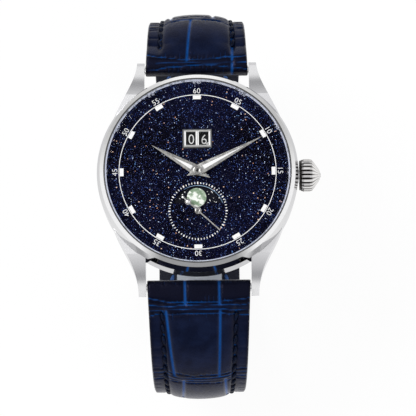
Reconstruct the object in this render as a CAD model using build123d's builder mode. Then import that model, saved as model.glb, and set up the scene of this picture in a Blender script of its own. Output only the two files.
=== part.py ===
from build123d import *
from math import atan2, cos, degrees, hypot, pi, radians, sin, sqrt
import os

os.makedirs("parts", exist_ok=True)

# The watch lies dial up: +Z out of the dial, +Y to 12 o'clock, +X to the crown.
# The origin is the centre of the case back's outer face.

# The case is built out from the movement's main plate
plate_radius = 15.2
holder_wall = 2.5
case_wall = 3.3
movement_bore_radius = plate_radius + holder_wall
case_radius = movement_bore_radius + case_wall

# Case, bezel and crystal
flank_step = 0.1
flank_radius = case_radius - flank_step
# Heights on the dial side are stacked on the main plate, and those on the back under it
plate_bottom = 6.2
plate_thickness = 2.1
plate_top = plate_bottom + plate_thickness
dial_thickness = 0.4
date_work_height = 0.9
dial_underside = plate_top + date_work_height
dial_height = dial_underside + dial_thickness
flank_bottom = 1.9
back_edge_width = 1.0
back_edge_radius = case_radius - back_edge_width
case_bottom = 0.5
bezel_seat_drop = 1.1
bezel_bottom = dial_height - bezel_seat_drop
bezel_slope_width = 0.65
bezel_shoulder_radius = case_radius - bezel_slope_width
bezel_shoulder_rise = 1.4
bezel_shoulder_height = dial_height + bezel_shoulder_rise
bezel_slope_height = 0.6
bezel_top = bezel_shoulder_height + bezel_slope_height
bezel_width = 1.5
bezel_bore_radius = case_radius - bezel_width
neck_step = 0.8
neck_radius = case_radius - neck_step
neck_rise = 0.4
neck_top = dial_height + neck_rise
dial_step = 1.7
dial_radius = case_radius - dial_step
rehaut_foot_width = 0.9
rehaut_foot_radius = dial_radius - rehaut_foot_width
rehaut_top_width = 0.35
rehaut_top_radius = dial_radius - rehaut_top_width
rehaut_height = 1.3
crystal_step = 0.1
crystal_radius = dial_radius - crystal_step
crystal_edge = 0.75
crystal_dome = 1.4
crystal_inner_dome = 1.4
crystal_rim = 0.5
gasket_height = 0.6
fit_gap = 0.04
seat_gap = 0.05
overrun = 1.0

# Lugs, in plan and from the side
lug_gap = 22.0
lug_reach = 4.05
lug_tip_y = case_radius + lug_reach
lug_root_inset = 2.7
lug_root_x = case_radius - lug_root_inset
lug_root_y = 9.0
lug_shoulder_inset = 4.1
lug_shoulder_x = case_radius - lug_shoulder_inset
lug_shoulder_back = 12.05
lug_shoulder_y = lug_tip_y - lug_shoulder_back
lug_waist_width = 3.2
lug_waist_x = lug_gap / 2 + lug_waist_width
lug_waist_back = 6.65
lug_waist_y = lug_tip_y - lug_waist_back
lug_tip_width = 1.6
lug_tip_x = lug_gap / 2 + lug_tip_width
lug_top_start = 7.0
lug_top_mid_back = 5.25
lug_top_mid_y = lug_tip_y - lug_top_mid_back
lug_top_mid_z = 7.15
lug_facet_back = 1.15
lug_facet_y = lug_tip_y - lug_facet_back
lug_facet_z = 4.0
lug_end_z = 1.7
lug_foot_back = 0.75
lug_foot_y = lug_tip_y - lug_foot_back
lug_foot_z = 1.1
spring_bar_reach = 2.3
spring_bar_y = case_radius + spring_bar_reach
spring_bar_z = 2.6
spring_bar_radius = 0.9
spring_bar_tip_radius = 0.5
spring_bar_tip_length = 1.2

# Case back
back_step = 2.1
back_radius = case_radius - back_step
back_thickness = 1.6
rotor_inset = 1.0
rotor_radius = plate_radius - rotor_inset
back_window_gap = 0.4
back_window_radius = rotor_radius + back_window_gap
back_lip_width = 0.5
back_lip_radius = back_window_radius - back_lip_width
back_lip = 0.2
back_glass_thickness = 0.9
back_notch_count = 6
back_notch_length = 2.4
back_notch_depth = 0.7
back_gasket_thickness = 0.4

# Movement plates
bridge_bottom = 2.95
bridge_thickness = 0.8
holder_bottom = 5.0
screw_head_radius = 0.75
screw_head_height = 0.35
screw_radius = 0.35
screw_length = 1.6
screw_slot = 0.18
pillar_radius = 1.2
pillar_inset = 1.5
pillar_circle_radius = plate_radius - pillar_inset
pillar_count = 6
pillar_turn = 48
stem_block_inset = 3.0
stem_block_x = plate_radius - stem_block_inset
stem_block_length = 2.0
stem_block_width = 2.8
stem_block_drop = 0.9
stem_slot_x = 5.5
stem_slot_half_width = 1.5
bridge_split_y = -1.9
bridge_split_gap = 0.25
balance_window_radius = 3.3
cock_head_radius = 1.3
cock_foot_radius = 1.0
cock_foot_x = -12.41
cock_foot_y = -6.8
cock_opening_share = 1.3

# Gear train: teeth, tooth size and places
sub_dial_y = -8.33
centre_teeth = 64
third_pinion_teeth = 8
third_teeth = 60
fourth_pinion_teeth = 8
fourth_teeth = 60
escape_pinion_teeth = 6
escape_teeth = 15
barrel_teeth = 72
centre_pinion_teeth = 12
cannon_teeth = 12
minute_wheel_teeth = 36
minute_pinion_teeth = 10
hour_wheel_teeth = 40
ratchet_teeth = 54
crown_wheel_teeth = 36
winding_teeth = 14
moon_teeth = 59
centre_module = 0.13
third_module = 0.12
fourth_module = 0.10
barrel_module = 0.15
motion_module = 0.11
winding_module = 0.19
arbor_radius = 0.3
barrel_arbor_radius = 0.6
pivot_radius = 0.16
pivot_play = 0.03
escape_root_radius = 1.6
escape_tip_radius = 2.1
fork_width = 0.25
fork_head_width = 0.75
pallet_arm = 1.0
wheel_thickness = 0.2
tooth_root_share = 1.05
tooth_tip_share = 0.75
tooth_top_share = 0.28
tooth_foot_share = 0.54
spoke_width = 0.5
wheel_hub_radius = 0.8
escape_hub_radius = 0.7
balance_hub_radius = 0.6

# Dial openings
date_window_width = 2.0
date_window_height = 2.8
date_window_x = 1.33
date_y = 7.0
date_frame_width = 6.06
date_frame_height = 4.0
date_frame_rise = 0.35
date_frame_bevel = 0.22
date_disc_radius = 4.95
date_disc_x = 4.4
date_disc_y = 8.2
date_disc_thickness = 0.15
aperture_radius = 5.4
aperture_shoulder = 1.7
moon_offset = 2.94
aperture_round_radius = 2.2
moon_disc_radius = 5.65
moon_tooth_depth = 0.2
disc_stud_radius = 0.6
disc_shoulder_radius = 1.3
moon_pipe_radius = 0.9
seconds_hole_radius = 0.45
hour_tube_radius = 0.78
hour_tube_bore_radius = 0.6
cannon_tube_radius = 0.56
cannon_bore_radius = 0.36
centre_arbor_radius = 0.33
centre_hole_radius = 0.9
ring_inset = 2.95
ring_radius = dial_radius - ring_inset
block_width = 1.65
block_depth = 0.8
block_height = 0.12
block_ring_gap = 0.15

# Hands
hour_angle = 300.0
minute_angle = 62.5
seconds_angle = 132.5
hour_length = 11.15
hour_tail = 3.07
hour_width = 2.1
hour_hand_rise = 0.82
hour_hand_height = dial_height + hour_hand_rise
minute_hand_gap = 1.05
minute_length = ring_radius - minute_hand_gap
minute_tail = 2.57
minute_width = 2.2
hand_level_step = 0.53
minute_hand_height = hour_hand_height + hand_level_step
hand_thickness = 0.26
hand_edge_height = 0.1
hand_waist = 1.15
inlay_width = 0.84
hour_inlay_start = 1.4
hour_inlay_end = 6.0
minute_inlay_start = 1.35
minute_inlay_end = 11.65
inlay_rise = 0.09
hub_radius = 0.95
seconds_hand_rise = 0.4
seconds_hand_height = dial_height + seconds_hand_rise
seconds_length = 6.07
seconds_hand_width = 0.26
seconds_hub_radius = 0.7
seconds_tail = 2.8
counterweight_radius = 0.65
seconds_thickness = 0.15

# Crown, stem and winding work
stem_height = 4.1
stem_radius = 0.55
crown_gap = 0.3
crown_base_x = case_radius + crown_gap
crown_radius = 3.45
crown_length = 4.45
flute_count = 24
flute_depth = 0.34
crown_bore_radius = 2.0
crown_bore_depth = 1.9
tube_radius = 1.65
tube_bore_radius = 1.15
tube_inner_gap = 0.7
tube_inner_x = movement_bore_radius + tube_inner_gap
tube_stand = 1.0
tube_outer_x = crown_base_x + tube_stand
crown_collar_share = 0.9
crown_gasket_width = 0.4
crown_gasket_inset = 0.6
stem_thread_length = 0.8
stem_groove_x = 9.9
stem_groove_length = 0.5
stem_groove_radius = 0.35
lever_width = 1.6
lever_height = 2.0
lever_foot = 0.7
winding_pinion_radius = 1.1
crown_station_shares = (0.07, 0.2, 0.48, 0.6, 0.7, 0.8, 0.9, 0.97)
crown_radius_shares = (0.93, 1.0, 1.0, 0.95, 0.79, 0.6, 0.42, 0.25)
flute_shoulder_share = 0.28
flute_shoulder_drop = 0.2
stem_inner_x = 5.6
winding_pinion_length = 1.5

# Strap path: centre line of the leather, seen from the side
strap_6_turn = 19.3
strap_turn_step = 6.3
strap_12_turn = strap_6_turn - strap_turn_step
loop_centre_y = -2.5
loop_centre_z = 3.5
loop_side_room = 7.9
loop_bottom_radius = spring_bar_y + strap_6_turn + loop_centre_y + loop_side_room
loop_bottom_z = loop_centre_z - loop_bottom_radius
strap_play = 0.4
strap_width_lug = lug_gap - strap_play
strap_width_clasp = 18.0
strap_thickness_lug = 4.4
strap_thickness_clasp = 2.9
lining_thickness = 0.8
strap_margin = 2.6
margin_drop_share = 0.42
strap_end_reach = 1.55
strap_end_y = spring_bar_y - strap_end_reach
strap_stations = 24
strap_start_share = 0.05
strap_block_stations = (0, 1.75, 3.5, 5.2)
strap_block_length = 3.5
strap_clasp_length = 12.0
strap_clasp_share = 0.5
strap_bar_hole_radius = 1.0
strap_taper_length = 50.0

# Butterfly clasp
clasp_width = 10.0
clasp_half_length = 15.5
clasp_blade_thickness = 0.9
clasp_gap = 0.15
clasp_pin_radius = 0.6
clasp_knuckle_radius = 1.05
clasp_block_length = 8.4
clasp_block_width = 16.0
clasp_bar_offset = 5.9
clasp_bar_radius = 0.6
clasp_eye_radius = 1.4
block_corner = 0.6
button_travel = 0.5
clasp_knuckle_length = 4.0
clasp_ear = 0.8
button_radius = 1.1
button_length = 2.4
button_stand = 0.9
button_chamfer = 0.22


def gear_points(teeth, module, phase):
    """Corners of a wheel with trapezoid teeth; phase is the angle of one tooth's middle, in degrees."""
    pitch_radius = teeth * module / 2
    tip = pitch_radius + tooth_tip_share * module
    root = pitch_radius - tooth_root_share * module
    step = 2 * pi / teeth
    half_top, half_foot = step * tooth_top_share / 2, step * tooth_foot_share / 2
    points = []
    for tooth in range(teeth):
        middle = radians(phase) + tooth * step
        for radius, turn in ((root, -half_foot), (tip, -half_top), (tip, half_top), (root, half_foot)):
            points.append((radius * cos(middle + turn), radius * sin(middle + turn)))
    return points


def pointed_points(teeth, root, tip, phase):
    """Corners of a wheel with pointed teeth."""
    step = 2 * pi / teeth
    points = []
    for tooth in range(teeth):
        middle = radians(phase) + tooth * step
        for radius, turn in ((root, -step / 2), (tip, 0)):
            points.append((radius * cos(middle + turn), radius * sin(middle + turn)))
    return points


def fluted_points(radius, depth):
    """Corners of the crown's section: rounded flutes with a groove between each two."""
    step = 2 * pi / flute_count
    shoulder = (flute_shoulder_share, flute_shoulder_drop)
    points = []
    for flute in range(flute_count):
        for turn, drop in ((-1 / 2, 1), (-shoulder[0], shoulder[1]), (0, 0), shoulder):
            angle = (flute + turn) * step
            points.append(((radius - drop * depth) * cos(angle), (radius - drop * depth) * sin(angle)))
    return points


def mesh_phase(driver_teeth, driver_phase, teeth, direction):
    """Tooth phase of a wheel whose gap faces a tooth of its driver; direction points driver to wheel."""
    driver_step = 360 / driver_teeth
    step = 360 / teeth
    offset = (direction - driver_phase) % driver_step / driver_step
    return (direction + 180) + step / 2 + offset * step


def wheel_spokes(inner, outer, width, count=4):
    """Openings between the arms of a wheel, as one sketch to cut."""
    with BuildSketch() as openings:
        Circle(outer)
        Circle(inner, mode=Mode.SUBTRACT)
        with PolarLocations(0, count // 2):
            Rectangle(2 * outer + width, width, mode=Mode.SUBTRACT)
    return openings.sketch


def place(x, y, z):
    """Level plane with its origin at a point."""
    return Plane(origin=(x, y, z), x_dir=(1, 0, 0), z_dir=(0, 0, 1))


# Places worked out from the tooth counts
centre_to_third = centre_module * (centre_teeth + third_pinion_teeth) / 2
third_to_fourth = third_module * (third_teeth + fourth_pinion_teeth) / 2
third_y = -(centre_to_third**2 - third_to_fourth**2 + sub_dial_y**2) / (2 * -sub_dial_y)
third_x = sqrt(centre_to_third**2 - third_y**2)
fourth_to_escape = fourth_module * (fourth_teeth + escape_pinion_teeth) / 2
escape_direction = 190.0
escape_x = fourth_to_escape * cos(radians(escape_direction))
escape_y = sub_dial_y + fourth_to_escape * sin(radians(escape_direction))
balance_x = -8.4
balance_y = -4.6
escape_to_pallet = 2.75
balance_direction = degrees(atan2(balance_y - escape_y, balance_x - escape_x))
pallet_x = escape_x + escape_to_pallet * cos(radians(balance_direction))
pallet_y = escape_y + escape_to_pallet * sin(radians(balance_direction))
pallet_to_balance = hypot(balance_x - pallet_x, balance_y - pallet_y)
centre_to_barrel = barrel_module * (barrel_teeth + centre_pinion_teeth) / 2
barrel_x = -1.0
barrel_y = sqrt(centre_to_barrel**2 - barrel_x**2)
ratchet_to_crown_wheel = winding_module * (ratchet_teeth + crown_wheel_teeth) / 2
crown_wheel_x = barrel_x + sqrt(ratchet_to_crown_wheel**2 - barrel_y**2)
winding_pinion_x = crown_wheel_x + winding_module * crown_wheel_teeth / 2
motion_distance = motion_module * (minute_wheel_teeth + cannon_teeth) / 2
hour_module = 2 * motion_distance / (hour_wheel_teeth + minute_pinion_teeth)
motion_direction = 20.0
minute_wheel_x = motion_distance * cos(radians(motion_direction))
minute_wheel_y = motion_distance * sin(radians(motion_direction))

# Levels inside the movement
centre_wheel_z = 5.5
centre_pinion_z = 4.85
centre_pinion_height = 0.6
third_wheel_z = 4.6
fourth_wheel_z = 5.1
escape_wheel_z = 4.8
pinion_overlap = 0.1
barrel_z = 3.95
barrel_height = 1.45
barrel_tooth_z = 5.0
barrel_drum_radius = 5.15
barrel_tooth_height = 0.35
ratchet_z = 2.5
ratchet_thickness = 0.4
rotor_z = 1.3
rotor_weight_height = 0.9
rotor_web = 0.35
rotor_rim = 1.9
rotor_arm_count = 6
rotor_hub_radius = 1.9
bearing_seat_height = 0.15
rotor_post_radius = 0.75
bearing_cap_radius = 1.2
bearing_cap_height = 0.2
balance_z = 4.2
balance_radius = 3.5
balance_rim = 0.4
balance_height = 0.42
roller_z = 4.75
roller_radius = 0.6
hairspring_z = 3.9
hairspring_height = 0.16
hairspring_width = 0.08
hairspring_turns = 5
hairspring_inner_radius = 0.6
stud_reach = 0.24
stud_radius = 0.16
hairspring_pitch = 0.5
cannon_rise = 0.05
cannon_z = plate_top + cannon_rise
minute_wheel_rise = 0.08
minute_wheel_z = plate_top + minute_wheel_rise
hour_wheel_rise = 0.32
hour_wheel_z = plate_top + hour_wheel_rise
units_disc_rise = 0.38
units_disc_z = plate_top + units_disc_rise
tens_disc_rise = 0.25
tens_disc_z = units_disc_z + tens_disc_rise
moon_disc_rise = 0.6
moon_disc_z = plate_top + moon_disc_rise
bridge_top = bridge_bottom + bridge_thickness

# Case middle with its four lugs
with BuildPart() as case_middle:
    with BuildSketch(Plane.XY.offset(lug_foot_z)) as lug_plan:
        with BuildLine():
            Line((lug_gap / 2, lug_root_y), (lug_root_x, lug_root_y))
            Spline(
                (lug_root_x, lug_root_y), (lug_shoulder_x, lug_shoulder_y), (lug_waist_x, lug_waist_y),
                (lug_tip_x, lug_tip_y),
            )
            Line((lug_tip_x, lug_tip_y), (lug_gap / 2, lug_tip_y))
            Line((lug_gap / 2, lug_tip_y), (lug_gap / 2, lug_root_y))
        make_face()
    extrude(amount=lug_top_start)
    with BuildSketch(Plane.YZ) as lug_side:
        with BuildLine():
            Line((lug_root_y, lug_foot_z), (lug_root_y, lug_top_start))
            ThreePointArc(
                (lug_root_y, lug_top_start), (lug_top_mid_y, lug_top_mid_z), (lug_facet_y, lug_facet_z)
            )
            Line((lug_facet_y, lug_facet_z), (lug_tip_y, lug_end_z))
            Line((lug_tip_y, lug_end_z), (lug_foot_y, lug_foot_z))
            Line((lug_foot_y, lug_foot_z), (lug_root_y, lug_foot_z))
        make_face()
    extrude(amount=lug_root_x + overrun, mode=Mode.INTERSECT)
    mirror(about=Plane.YZ)
    mirror(about=Plane.XZ)
    with BuildSketch(Plane.XZ) as case_profile:
        with BuildLine():
            Polyline(
                (0, case_bottom),
                (back_edge_radius, case_bottom),
                (flank_radius, flank_bottom),
                (flank_radius, bezel_bottom - seat_gap),
                (neck_radius, bezel_bottom - seat_gap),
                (neck_radius, neck_top),
                (0, neck_top),
                close=True,
            )
        make_face()
    revolve(axis=Axis.Z)
    with BuildSketch(Plane.XZ) as case_bore:
        with BuildLine():
            Polyline(
                (0, case_bottom - overrun),
                (back_radius + fit_gap, case_bottom - overrun),
                (back_radius + fit_gap, back_thickness),
                (movement_bore_radius, back_thickness),
                (movement_bore_radius, dial_underside),
                (dial_radius + seat_gap, dial_underside),
                (dial_radius + seat_gap, neck_top + overrun),
                (0, neck_top + overrun),
                close=True,
            )
        make_face()
    revolve(axis=Axis.Z, mode=Mode.SUBTRACT)
    with BuildSketch(Plane.YZ.offset(movement_bore_radius - overrun)) as tube_hole:
        with Locations((0, stem_height)):
            Circle(tube_radius + fit_gap)
    extrude(amount=case_radius, mode=Mode.SUBTRACT)
    with BuildSketch(Plane.YZ.offset(lug_gap / 2 - overrun)) as bar_holes:
        with Locations((spring_bar_y, spring_bar_z), (-spring_bar_y, spring_bar_z)):
            Circle(spring_bar_tip_radius + fit_gap)
    extrude(amount=spring_bar_tip_length + overrun + fit_gap, mode=Mode.SUBTRACT)
    with BuildSketch(Plane.YZ.offset(overrun - lug_gap / 2)) as bar_holes_left:
        with Locations((spring_bar_y, spring_bar_z), (-spring_bar_y, spring_bar_z)):
            Circle(spring_bar_tip_radius + fit_gap)
    extrude(amount=-(spring_bar_tip_length + overrun + fit_gap), mode=Mode.SUBTRACT)
case_middle.part.label = "case_middle"
export_step(case_middle.part, "parts/case_middle.step")

# Bezel: two slopes over the case middle's neck
with BuildPart() as bezel:
    with BuildSketch(Plane.XZ) as bezel_profile:
        with BuildLine():
            Polyline(
                (neck_radius + fit_gap, bezel_bottom),
                (case_radius, bezel_bottom),
                (bezel_shoulder_radius, bezel_shoulder_height),
                (bezel_bore_radius + fit_gap, bezel_top),
                (bezel_bore_radius, neck_top + seat_gap),
                (neck_radius + fit_gap, neck_top + seat_gap),
                close=True,
            )
        make_face()
    revolve(axis=Axis.Z)
bezel.part.label = "bezel"
export_step(bezel.part, "parts/bezel.step")

# Sloped ring between the dial and the crystal
with BuildPart() as rehaut:
    with BuildSketch(Plane.XZ) as rehaut_profile:
        with BuildLine():
            Polyline(
                (rehaut_foot_radius, dial_height),
                (dial_radius, dial_height),
                (dial_radius, dial_height + rehaut_height),
                (rehaut_top_radius, dial_height + rehaut_height),
                close=True,
            )
        make_face()
    revolve(axis=Axis.Z)
rehaut.part.label = "rehaut"
export_step(rehaut.part, "parts/rehaut.step")

# Domed crystal: both faces are shallow domes
crystal_bottom = dial_height + rehaut_height
crystal_shoulder = crystal_bottom + crystal_edge

crystal_apex = crystal_shoulder + crystal_dome
crystal_inner_apex = crystal_bottom + crystal_inner_dome
with BuildPart() as crystal:
    with BuildSketch(Plane.XZ) as crystal_profile:
        with BuildLine():
            inner_radius = crystal_radius - crystal_rim
            Line((inner_radius, crystal_bottom), (crystal_radius, crystal_bottom))
            Line((crystal_radius, crystal_bottom), (crystal_radius, crystal_shoulder))
            Bezier((crystal_radius, crystal_shoulder), (crystal_radius / 2, crystal_apex), (0, crystal_apex))
            Line((0, crystal_apex), (0, crystal_inner_apex))
            Bezier((0, crystal_inner_apex), (inner_radius / 2, crystal_inner_apex), (inner_radius, crystal_bottom))
        make_face()
    revolve(axis=Axis.Z)
crystal.part.label = "crystal"
export_step(crystal.part, "parts/crystal.step")

# Nylon ring that holds the crystal in the bezel
with BuildPart() as crystal_gasket:
    with BuildSketch(Plane.XY.offset(crystal_bottom)):
        Circle(bezel_bore_radius - fit_gap)
        Circle(crystal_radius + fit_gap, mode=Mode.SUBTRACT)
    extrude(amount=gasket_height)
crystal_gasket.part.label = "crystal_gasket"
export_step(crystal_gasket.part, "parts/crystal_gasket.step")

# Case back ring with its window and six notches for a key
with BuildPart() as case_back:
    with BuildSketch(Plane.XY):
        Circle(back_radius)
        Circle(back_lip_radius, mode=Mode.SUBTRACT)
    extrude(amount=back_thickness - seat_gap)
    with BuildSketch(Plane.XY.offset(back_lip)):
        Circle(back_window_radius + fit_gap)
    extrude(amount=back_thickness, mode=Mode.SUBTRACT)
    with BuildSketch(Plane.XY):
        with PolarLocations(back_radius, back_notch_count):
            Rectangle(2 * back_notch_depth, back_notch_length)
    extrude(amount=back_notch_depth, mode=Mode.SUBTRACT)
case_back.part.label = "case_back"
export_step(case_back.part, "parts/case_back.step")

# Window in the case back: a stepped glass, its outer face level with the ring's
with BuildPart() as case_back_glass:
    with BuildSketch(Plane.XY.offset(back_lip)):
        Circle(back_window_radius)
    extrude(amount=back_glass_thickness)
    with BuildSketch(Plane.XY):
        Circle(back_lip_radius - fit_gap)
    extrude(amount=back_lip)
case_back_glass.part.label = "case_back_glass"
export_step(case_back_glass.part, "parts/case_back_glass.step")

# Gasket between the case back and the case middle
with BuildPart() as case_back_gasket:
    with BuildSketch(Plane.XY.offset(back_thickness)):
        Circle(movement_bore_radius - fit_gap)
        Circle(movement_bore_radius - 2 * back_gasket_thickness, mode=Mode.SUBTRACT)
    extrude(amount=back_gasket_thickness)
case_back_gasket.part.label = "case_back_gasket"
export_step(case_back_gasket.part, "parts/case_back_gasket.step")

# Ring that centres the movement in the case
with BuildPart() as movement_holder:
    with BuildSketch(Plane.XY.offset(holder_bottom)):
        Circle(movement_bore_radius - fit_gap)
        Circle(plate_radius + fit_gap, mode=Mode.SUBTRACT)
    extrude(amount=dial_underside - holder_bottom)
    with BuildSketch(Plane.YZ.offset(plate_radius - overrun)):
        with Locations((0, stem_height)):
            Rectangle(2 * (stem_radius + overrun), 2 * (stem_radius + overrun))
    extrude(amount=case_radius, mode=Mode.SUBTRACT)
movement_holder.part.label = "movement_holder"
export_step(movement_holder.part, "parts/movement_holder.step")

# Main plate: holes for the arbors, pillars for the bridges and a block that guides the stem
with BuildPart() as main_plate:
    with BuildSketch(Plane.XY.offset(plate_bottom)):
        Circle(plate_radius)
        with Locations((0, 0)):
            Circle(centre_arbor_radius + pivot_play, mode=Mode.SUBTRACT)
        with Locations((third_x, third_y), (escape_x, escape_y), (pallet_x, pallet_y), (balance_x, balance_y)):
            Circle(pivot_radius + pivot_play, mode=Mode.SUBTRACT)
        with Locations((0, sub_dial_y)):
            Circle(arbor_radius + pivot_play, mode=Mode.SUBTRACT)
        with Locations((barrel_x, barrel_y)):
            Circle(barrel_arbor_radius + pivot_play, mode=Mode.SUBTRACT)
    extrude(amount=plate_top - plate_bottom)
    # Pillars that carry the bridges
    with BuildSketch(Plane.XY.offset(bridge_top)):
        with PolarLocations(pillar_circle_radius, pillar_count, pillar_turn):
            Circle(pillar_radius)
            Circle(screw_radius + fit_gap, mode=Mode.SUBTRACT)
    extrude(amount=plate_bottom - bridge_top)
    # Block that guides the winding stem
    with BuildSketch(Plane.YZ.offset(stem_block_x)):
        with Locations((0, (stem_height - stem_block_drop + plate_bottom) / 2)):
            Rectangle(stem_block_width, plate_bottom - stem_height + stem_block_drop)
        with Locations((0, stem_height)):
            Circle(stem_radius + pivot_play, mode=Mode.SUBTRACT)
    extrude(amount=stem_block_length)
    # Studs and shoulders that carry the minute wheel, the date discs and the moon disc
    with BuildSketch(Plane.XY.offset(plate_top)):
        with Locations((minute_wheel_x, minute_wheel_y)):
            Circle(arbor_radius)
    extrude(amount=hour_wheel_z - plate_top)
    for disc_x, disc_z in ((date_disc_x, units_disc_z), (-date_disc_x, tens_disc_z)):
        with BuildSketch(place(disc_x, date_disc_y, plate_top)):
            Circle(disc_stud_radius)
        extrude(amount=dial_underside - seat_gap - plate_top)
        with BuildSketch(place(disc_x, date_disc_y, plate_top)):
            Circle(disc_shoulder_radius)
        extrude(amount=disc_z - seat_gap - plate_top)
    with BuildSketch(place(0, sub_dial_y, plate_top)):
        Circle(moon_pipe_radius)
        Circle(arbor_radius + pivot_play, mode=Mode.SUBTRACT)
    extrude(amount=dial_underside - seat_gap - plate_top)
    with BuildSketch(place(0, sub_dial_y, plate_top)):
        Circle(disc_shoulder_radius)
        Circle(arbor_radius + pivot_play, mode=Mode.SUBTRACT)
    extrude(amount=moon_disc_z - seat_gap - plate_top)
main_plate.part.label = "main_plate"
export_step(main_plate.part, "parts/main_plate.step")


def bridge_half(keep_sign):
    """Half of the round bridge plate: the barrel's side or the train's side of the split line."""
    edge = bridge_split_y + keep_sign * bridge_split_gap / 2
    with BuildSketch() as half:
        Circle(plate_radius - seat_gap)
        with Locations((0, edge - keep_sign * plate_radius)):
            Rectangle(4 * plate_radius, 2 * plate_radius, mode=Mode.SUBTRACT)
        with PolarLocations(pillar_circle_radius, pillar_count, pillar_turn):
            Circle(screw_radius + fit_gap, mode=Mode.SUBTRACT)
    return half.sketch


# Bridge over the barrel, cut open along the winding stem
with BuildPart() as barrel_bridge:
    with BuildSketch(Plane.XY.offset(bridge_bottom)):
        add(bridge_half(1))
        Circle(pivot_radius + pivot_play, mode=Mode.SUBTRACT)
        with Locations((barrel_x, barrel_y)):
            Circle(barrel_arbor_radius + pivot_play, mode=Mode.SUBTRACT)
        with Locations((stem_slot_x, bridge_split_y)):
            Rectangle(
                plate_radius, stem_slot_half_width - bridge_split_y, align=(Align.MIN, Align.MIN),
                mode=Mode.SUBTRACT,
            )
    extrude(amount=bridge_thickness)
    with BuildSketch(place(crown_wheel_x, 0, ratchet_z)):
        Circle(barrel_arbor_radius)
    extrude(amount=bridge_bottom - ratchet_z)
barrel_bridge.part.label = "barrel_bridge"
export_step(barrel_bridge.part, "parts/barrel_bridge.step")

# Bridge over the third, fourth and escape wheels, cut open over the balance
with BuildPart() as train_bridge:
    with BuildSketch(Plane.XY.offset(bridge_bottom)):
        add(bridge_half(-1))
        with BuildSketch(mode=Mode.PRIVATE) as window:
            with Locations((balance_x, balance_y)):
                Circle(balance_window_radius)
            with Locations((cock_opening_share * cock_foot_x, cock_opening_share * cock_foot_y)):
                Circle(balance_window_radius)
            with Locations((-plate_radius, bridge_split_y)):
                Circle(overrun)
            make_hull()
        add(window.sketch, mode=Mode.SUBTRACT)
        with Locations((third_x, third_y), (0, sub_dial_y), (escape_x, escape_y), (pallet_x, pallet_y)):
            Circle(pivot_radius + pivot_play, mode=Mode.SUBTRACT)
    extrude(amount=bridge_thickness)
train_bridge.part.label = "train_bridge"
export_step(train_bridge.part, "parts/train_bridge.step")


def hairspring_plane(height):
    """Level plane on the balance's axis, its X towards the cock's foot."""
    reach = hypot(cock_foot_x - balance_x, cock_foot_y - balance_y)
    return Plane(
        origin=(balance_x, balance_y, height),
        x_dir=((cock_foot_x - balance_x) / reach, (cock_foot_y - balance_y) / reach, 0),
        z_dir=(0, 0, 1),
    )


hairspring_end_radius = hairspring_inner_radius + hairspring_turns * hairspring_pitch + hairspring_width

# Cock that carries the balance's outer pivot and the hairspring's stud
with BuildPart() as balance_cock:
    with BuildSketch(Plane.XY.offset(bridge_bottom)):
        with Locations((balance_x, balance_y)):
            Circle(cock_head_radius)
        with Locations((cock_foot_x, cock_foot_y)):
            Circle(cock_foot_radius)
        make_hull()
        with Locations((balance_x, balance_y)):
            Circle(pivot_radius + pivot_play, mode=Mode.SUBTRACT)
    extrude(amount=bridge_thickness)
    with BuildSketch(Plane.XY.offset(bridge_top)):
        with Locations((cock_foot_x, cock_foot_y)):
            Circle(cock_foot_radius - seat_gap)
    extrude(amount=plate_bottom - bridge_top)
    with BuildSketch(Plane.XY.offset(bridge_bottom)):
        with Locations((cock_foot_x, cock_foot_y)):
            Circle(screw_radius + fit_gap)
    extrude(amount=screw_length + seat_gap, mode=Mode.SUBTRACT)
    with BuildSketch(hairspring_plane(bridge_top)):
        with Locations((hairspring_end_radius + stud_reach, 0)):
            Circle(stud_radius)
    extrude(amount=hairspring_z + hairspring_height - bridge_top)
balance_cock.part.label = "balance_cock"
export_step(balance_cock.part, "parts/balance_cock.step")

# Slotted screws that hold the bridges and the cock
pillar_angles = [radians(pillar_turn + 360 / pillar_count * number) for number in range(pillar_count)]
screw_places = [(pillar_circle_radius * cos(turn), pillar_circle_radius * sin(turn)) for turn in pillar_angles]
screw_places.append((cock_foot_x, cock_foot_y))
with BuildPart() as bridge_screws:
    with BuildSketch(Plane.XY.offset(bridge_bottom - screw_head_height)):
        with Locations(*screw_places):
            Circle(screw_head_radius)
    extrude(amount=screw_head_height)
    with BuildSketch(Plane.XY.offset(bridge_bottom)):
        with Locations(*screw_places):
            Circle(screw_radius)
    extrude(amount=screw_length)
    with BuildSketch(Plane.XY.offset(bridge_bottom - screw_head_height)):
        with Locations(*screw_places):
            Rectangle(2 * screw_head_radius, screw_slot)
    extrude(amount=screw_slot, mode=Mode.SUBTRACT)
bridge_screws.part.label = "bridge_screws"
export_step(bridge_screws.part, "parts/bridge_screws.step")

# Centre wheel: driven by the barrel, turns once an hour
barrel_to_centre = degrees(atan2(-barrel_y, -barrel_x))
centre_pinion_phase = mesh_phase(barrel_teeth, 0, centre_pinion_teeth, barrel_to_centre)
with BuildPart() as centre_wheel:
    with BuildSketch(Plane.XY.offset(centre_wheel_z)):
        with BuildLine():
            Polyline(*gear_points(centre_teeth, centre_module, 0), close=True)
        make_face()
        add(wheel_spokes(wheel_hub_radius, centre_module * centre_teeth / 2 - spoke_width, spoke_width),
            mode=Mode.SUBTRACT)
    extrude(amount=wheel_thickness)
    with BuildSketch(Plane.XY.offset(centre_pinion_z)):
        with BuildLine():
            Polyline(*gear_points(centre_pinion_teeth, barrel_module, centre_pinion_phase), close=True)
        make_face()
    extrude(amount=centre_wheel_z - centre_pinion_z)
    with BuildSketch(Plane.XY.offset(bridge_top + seat_gap)):
        Circle(centre_arbor_radius)
    extrude(amount=minute_hand_height - bridge_top)
    with BuildSketch(Plane.XY.offset(bridge_bottom + seat_gap)):
        Circle(pivot_radius)
    extrude(amount=bridge_thickness)
centre_wheel.part.label = "centre_wheel"
export_step(centre_wheel.part, "parts/centre_wheel.step")

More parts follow.
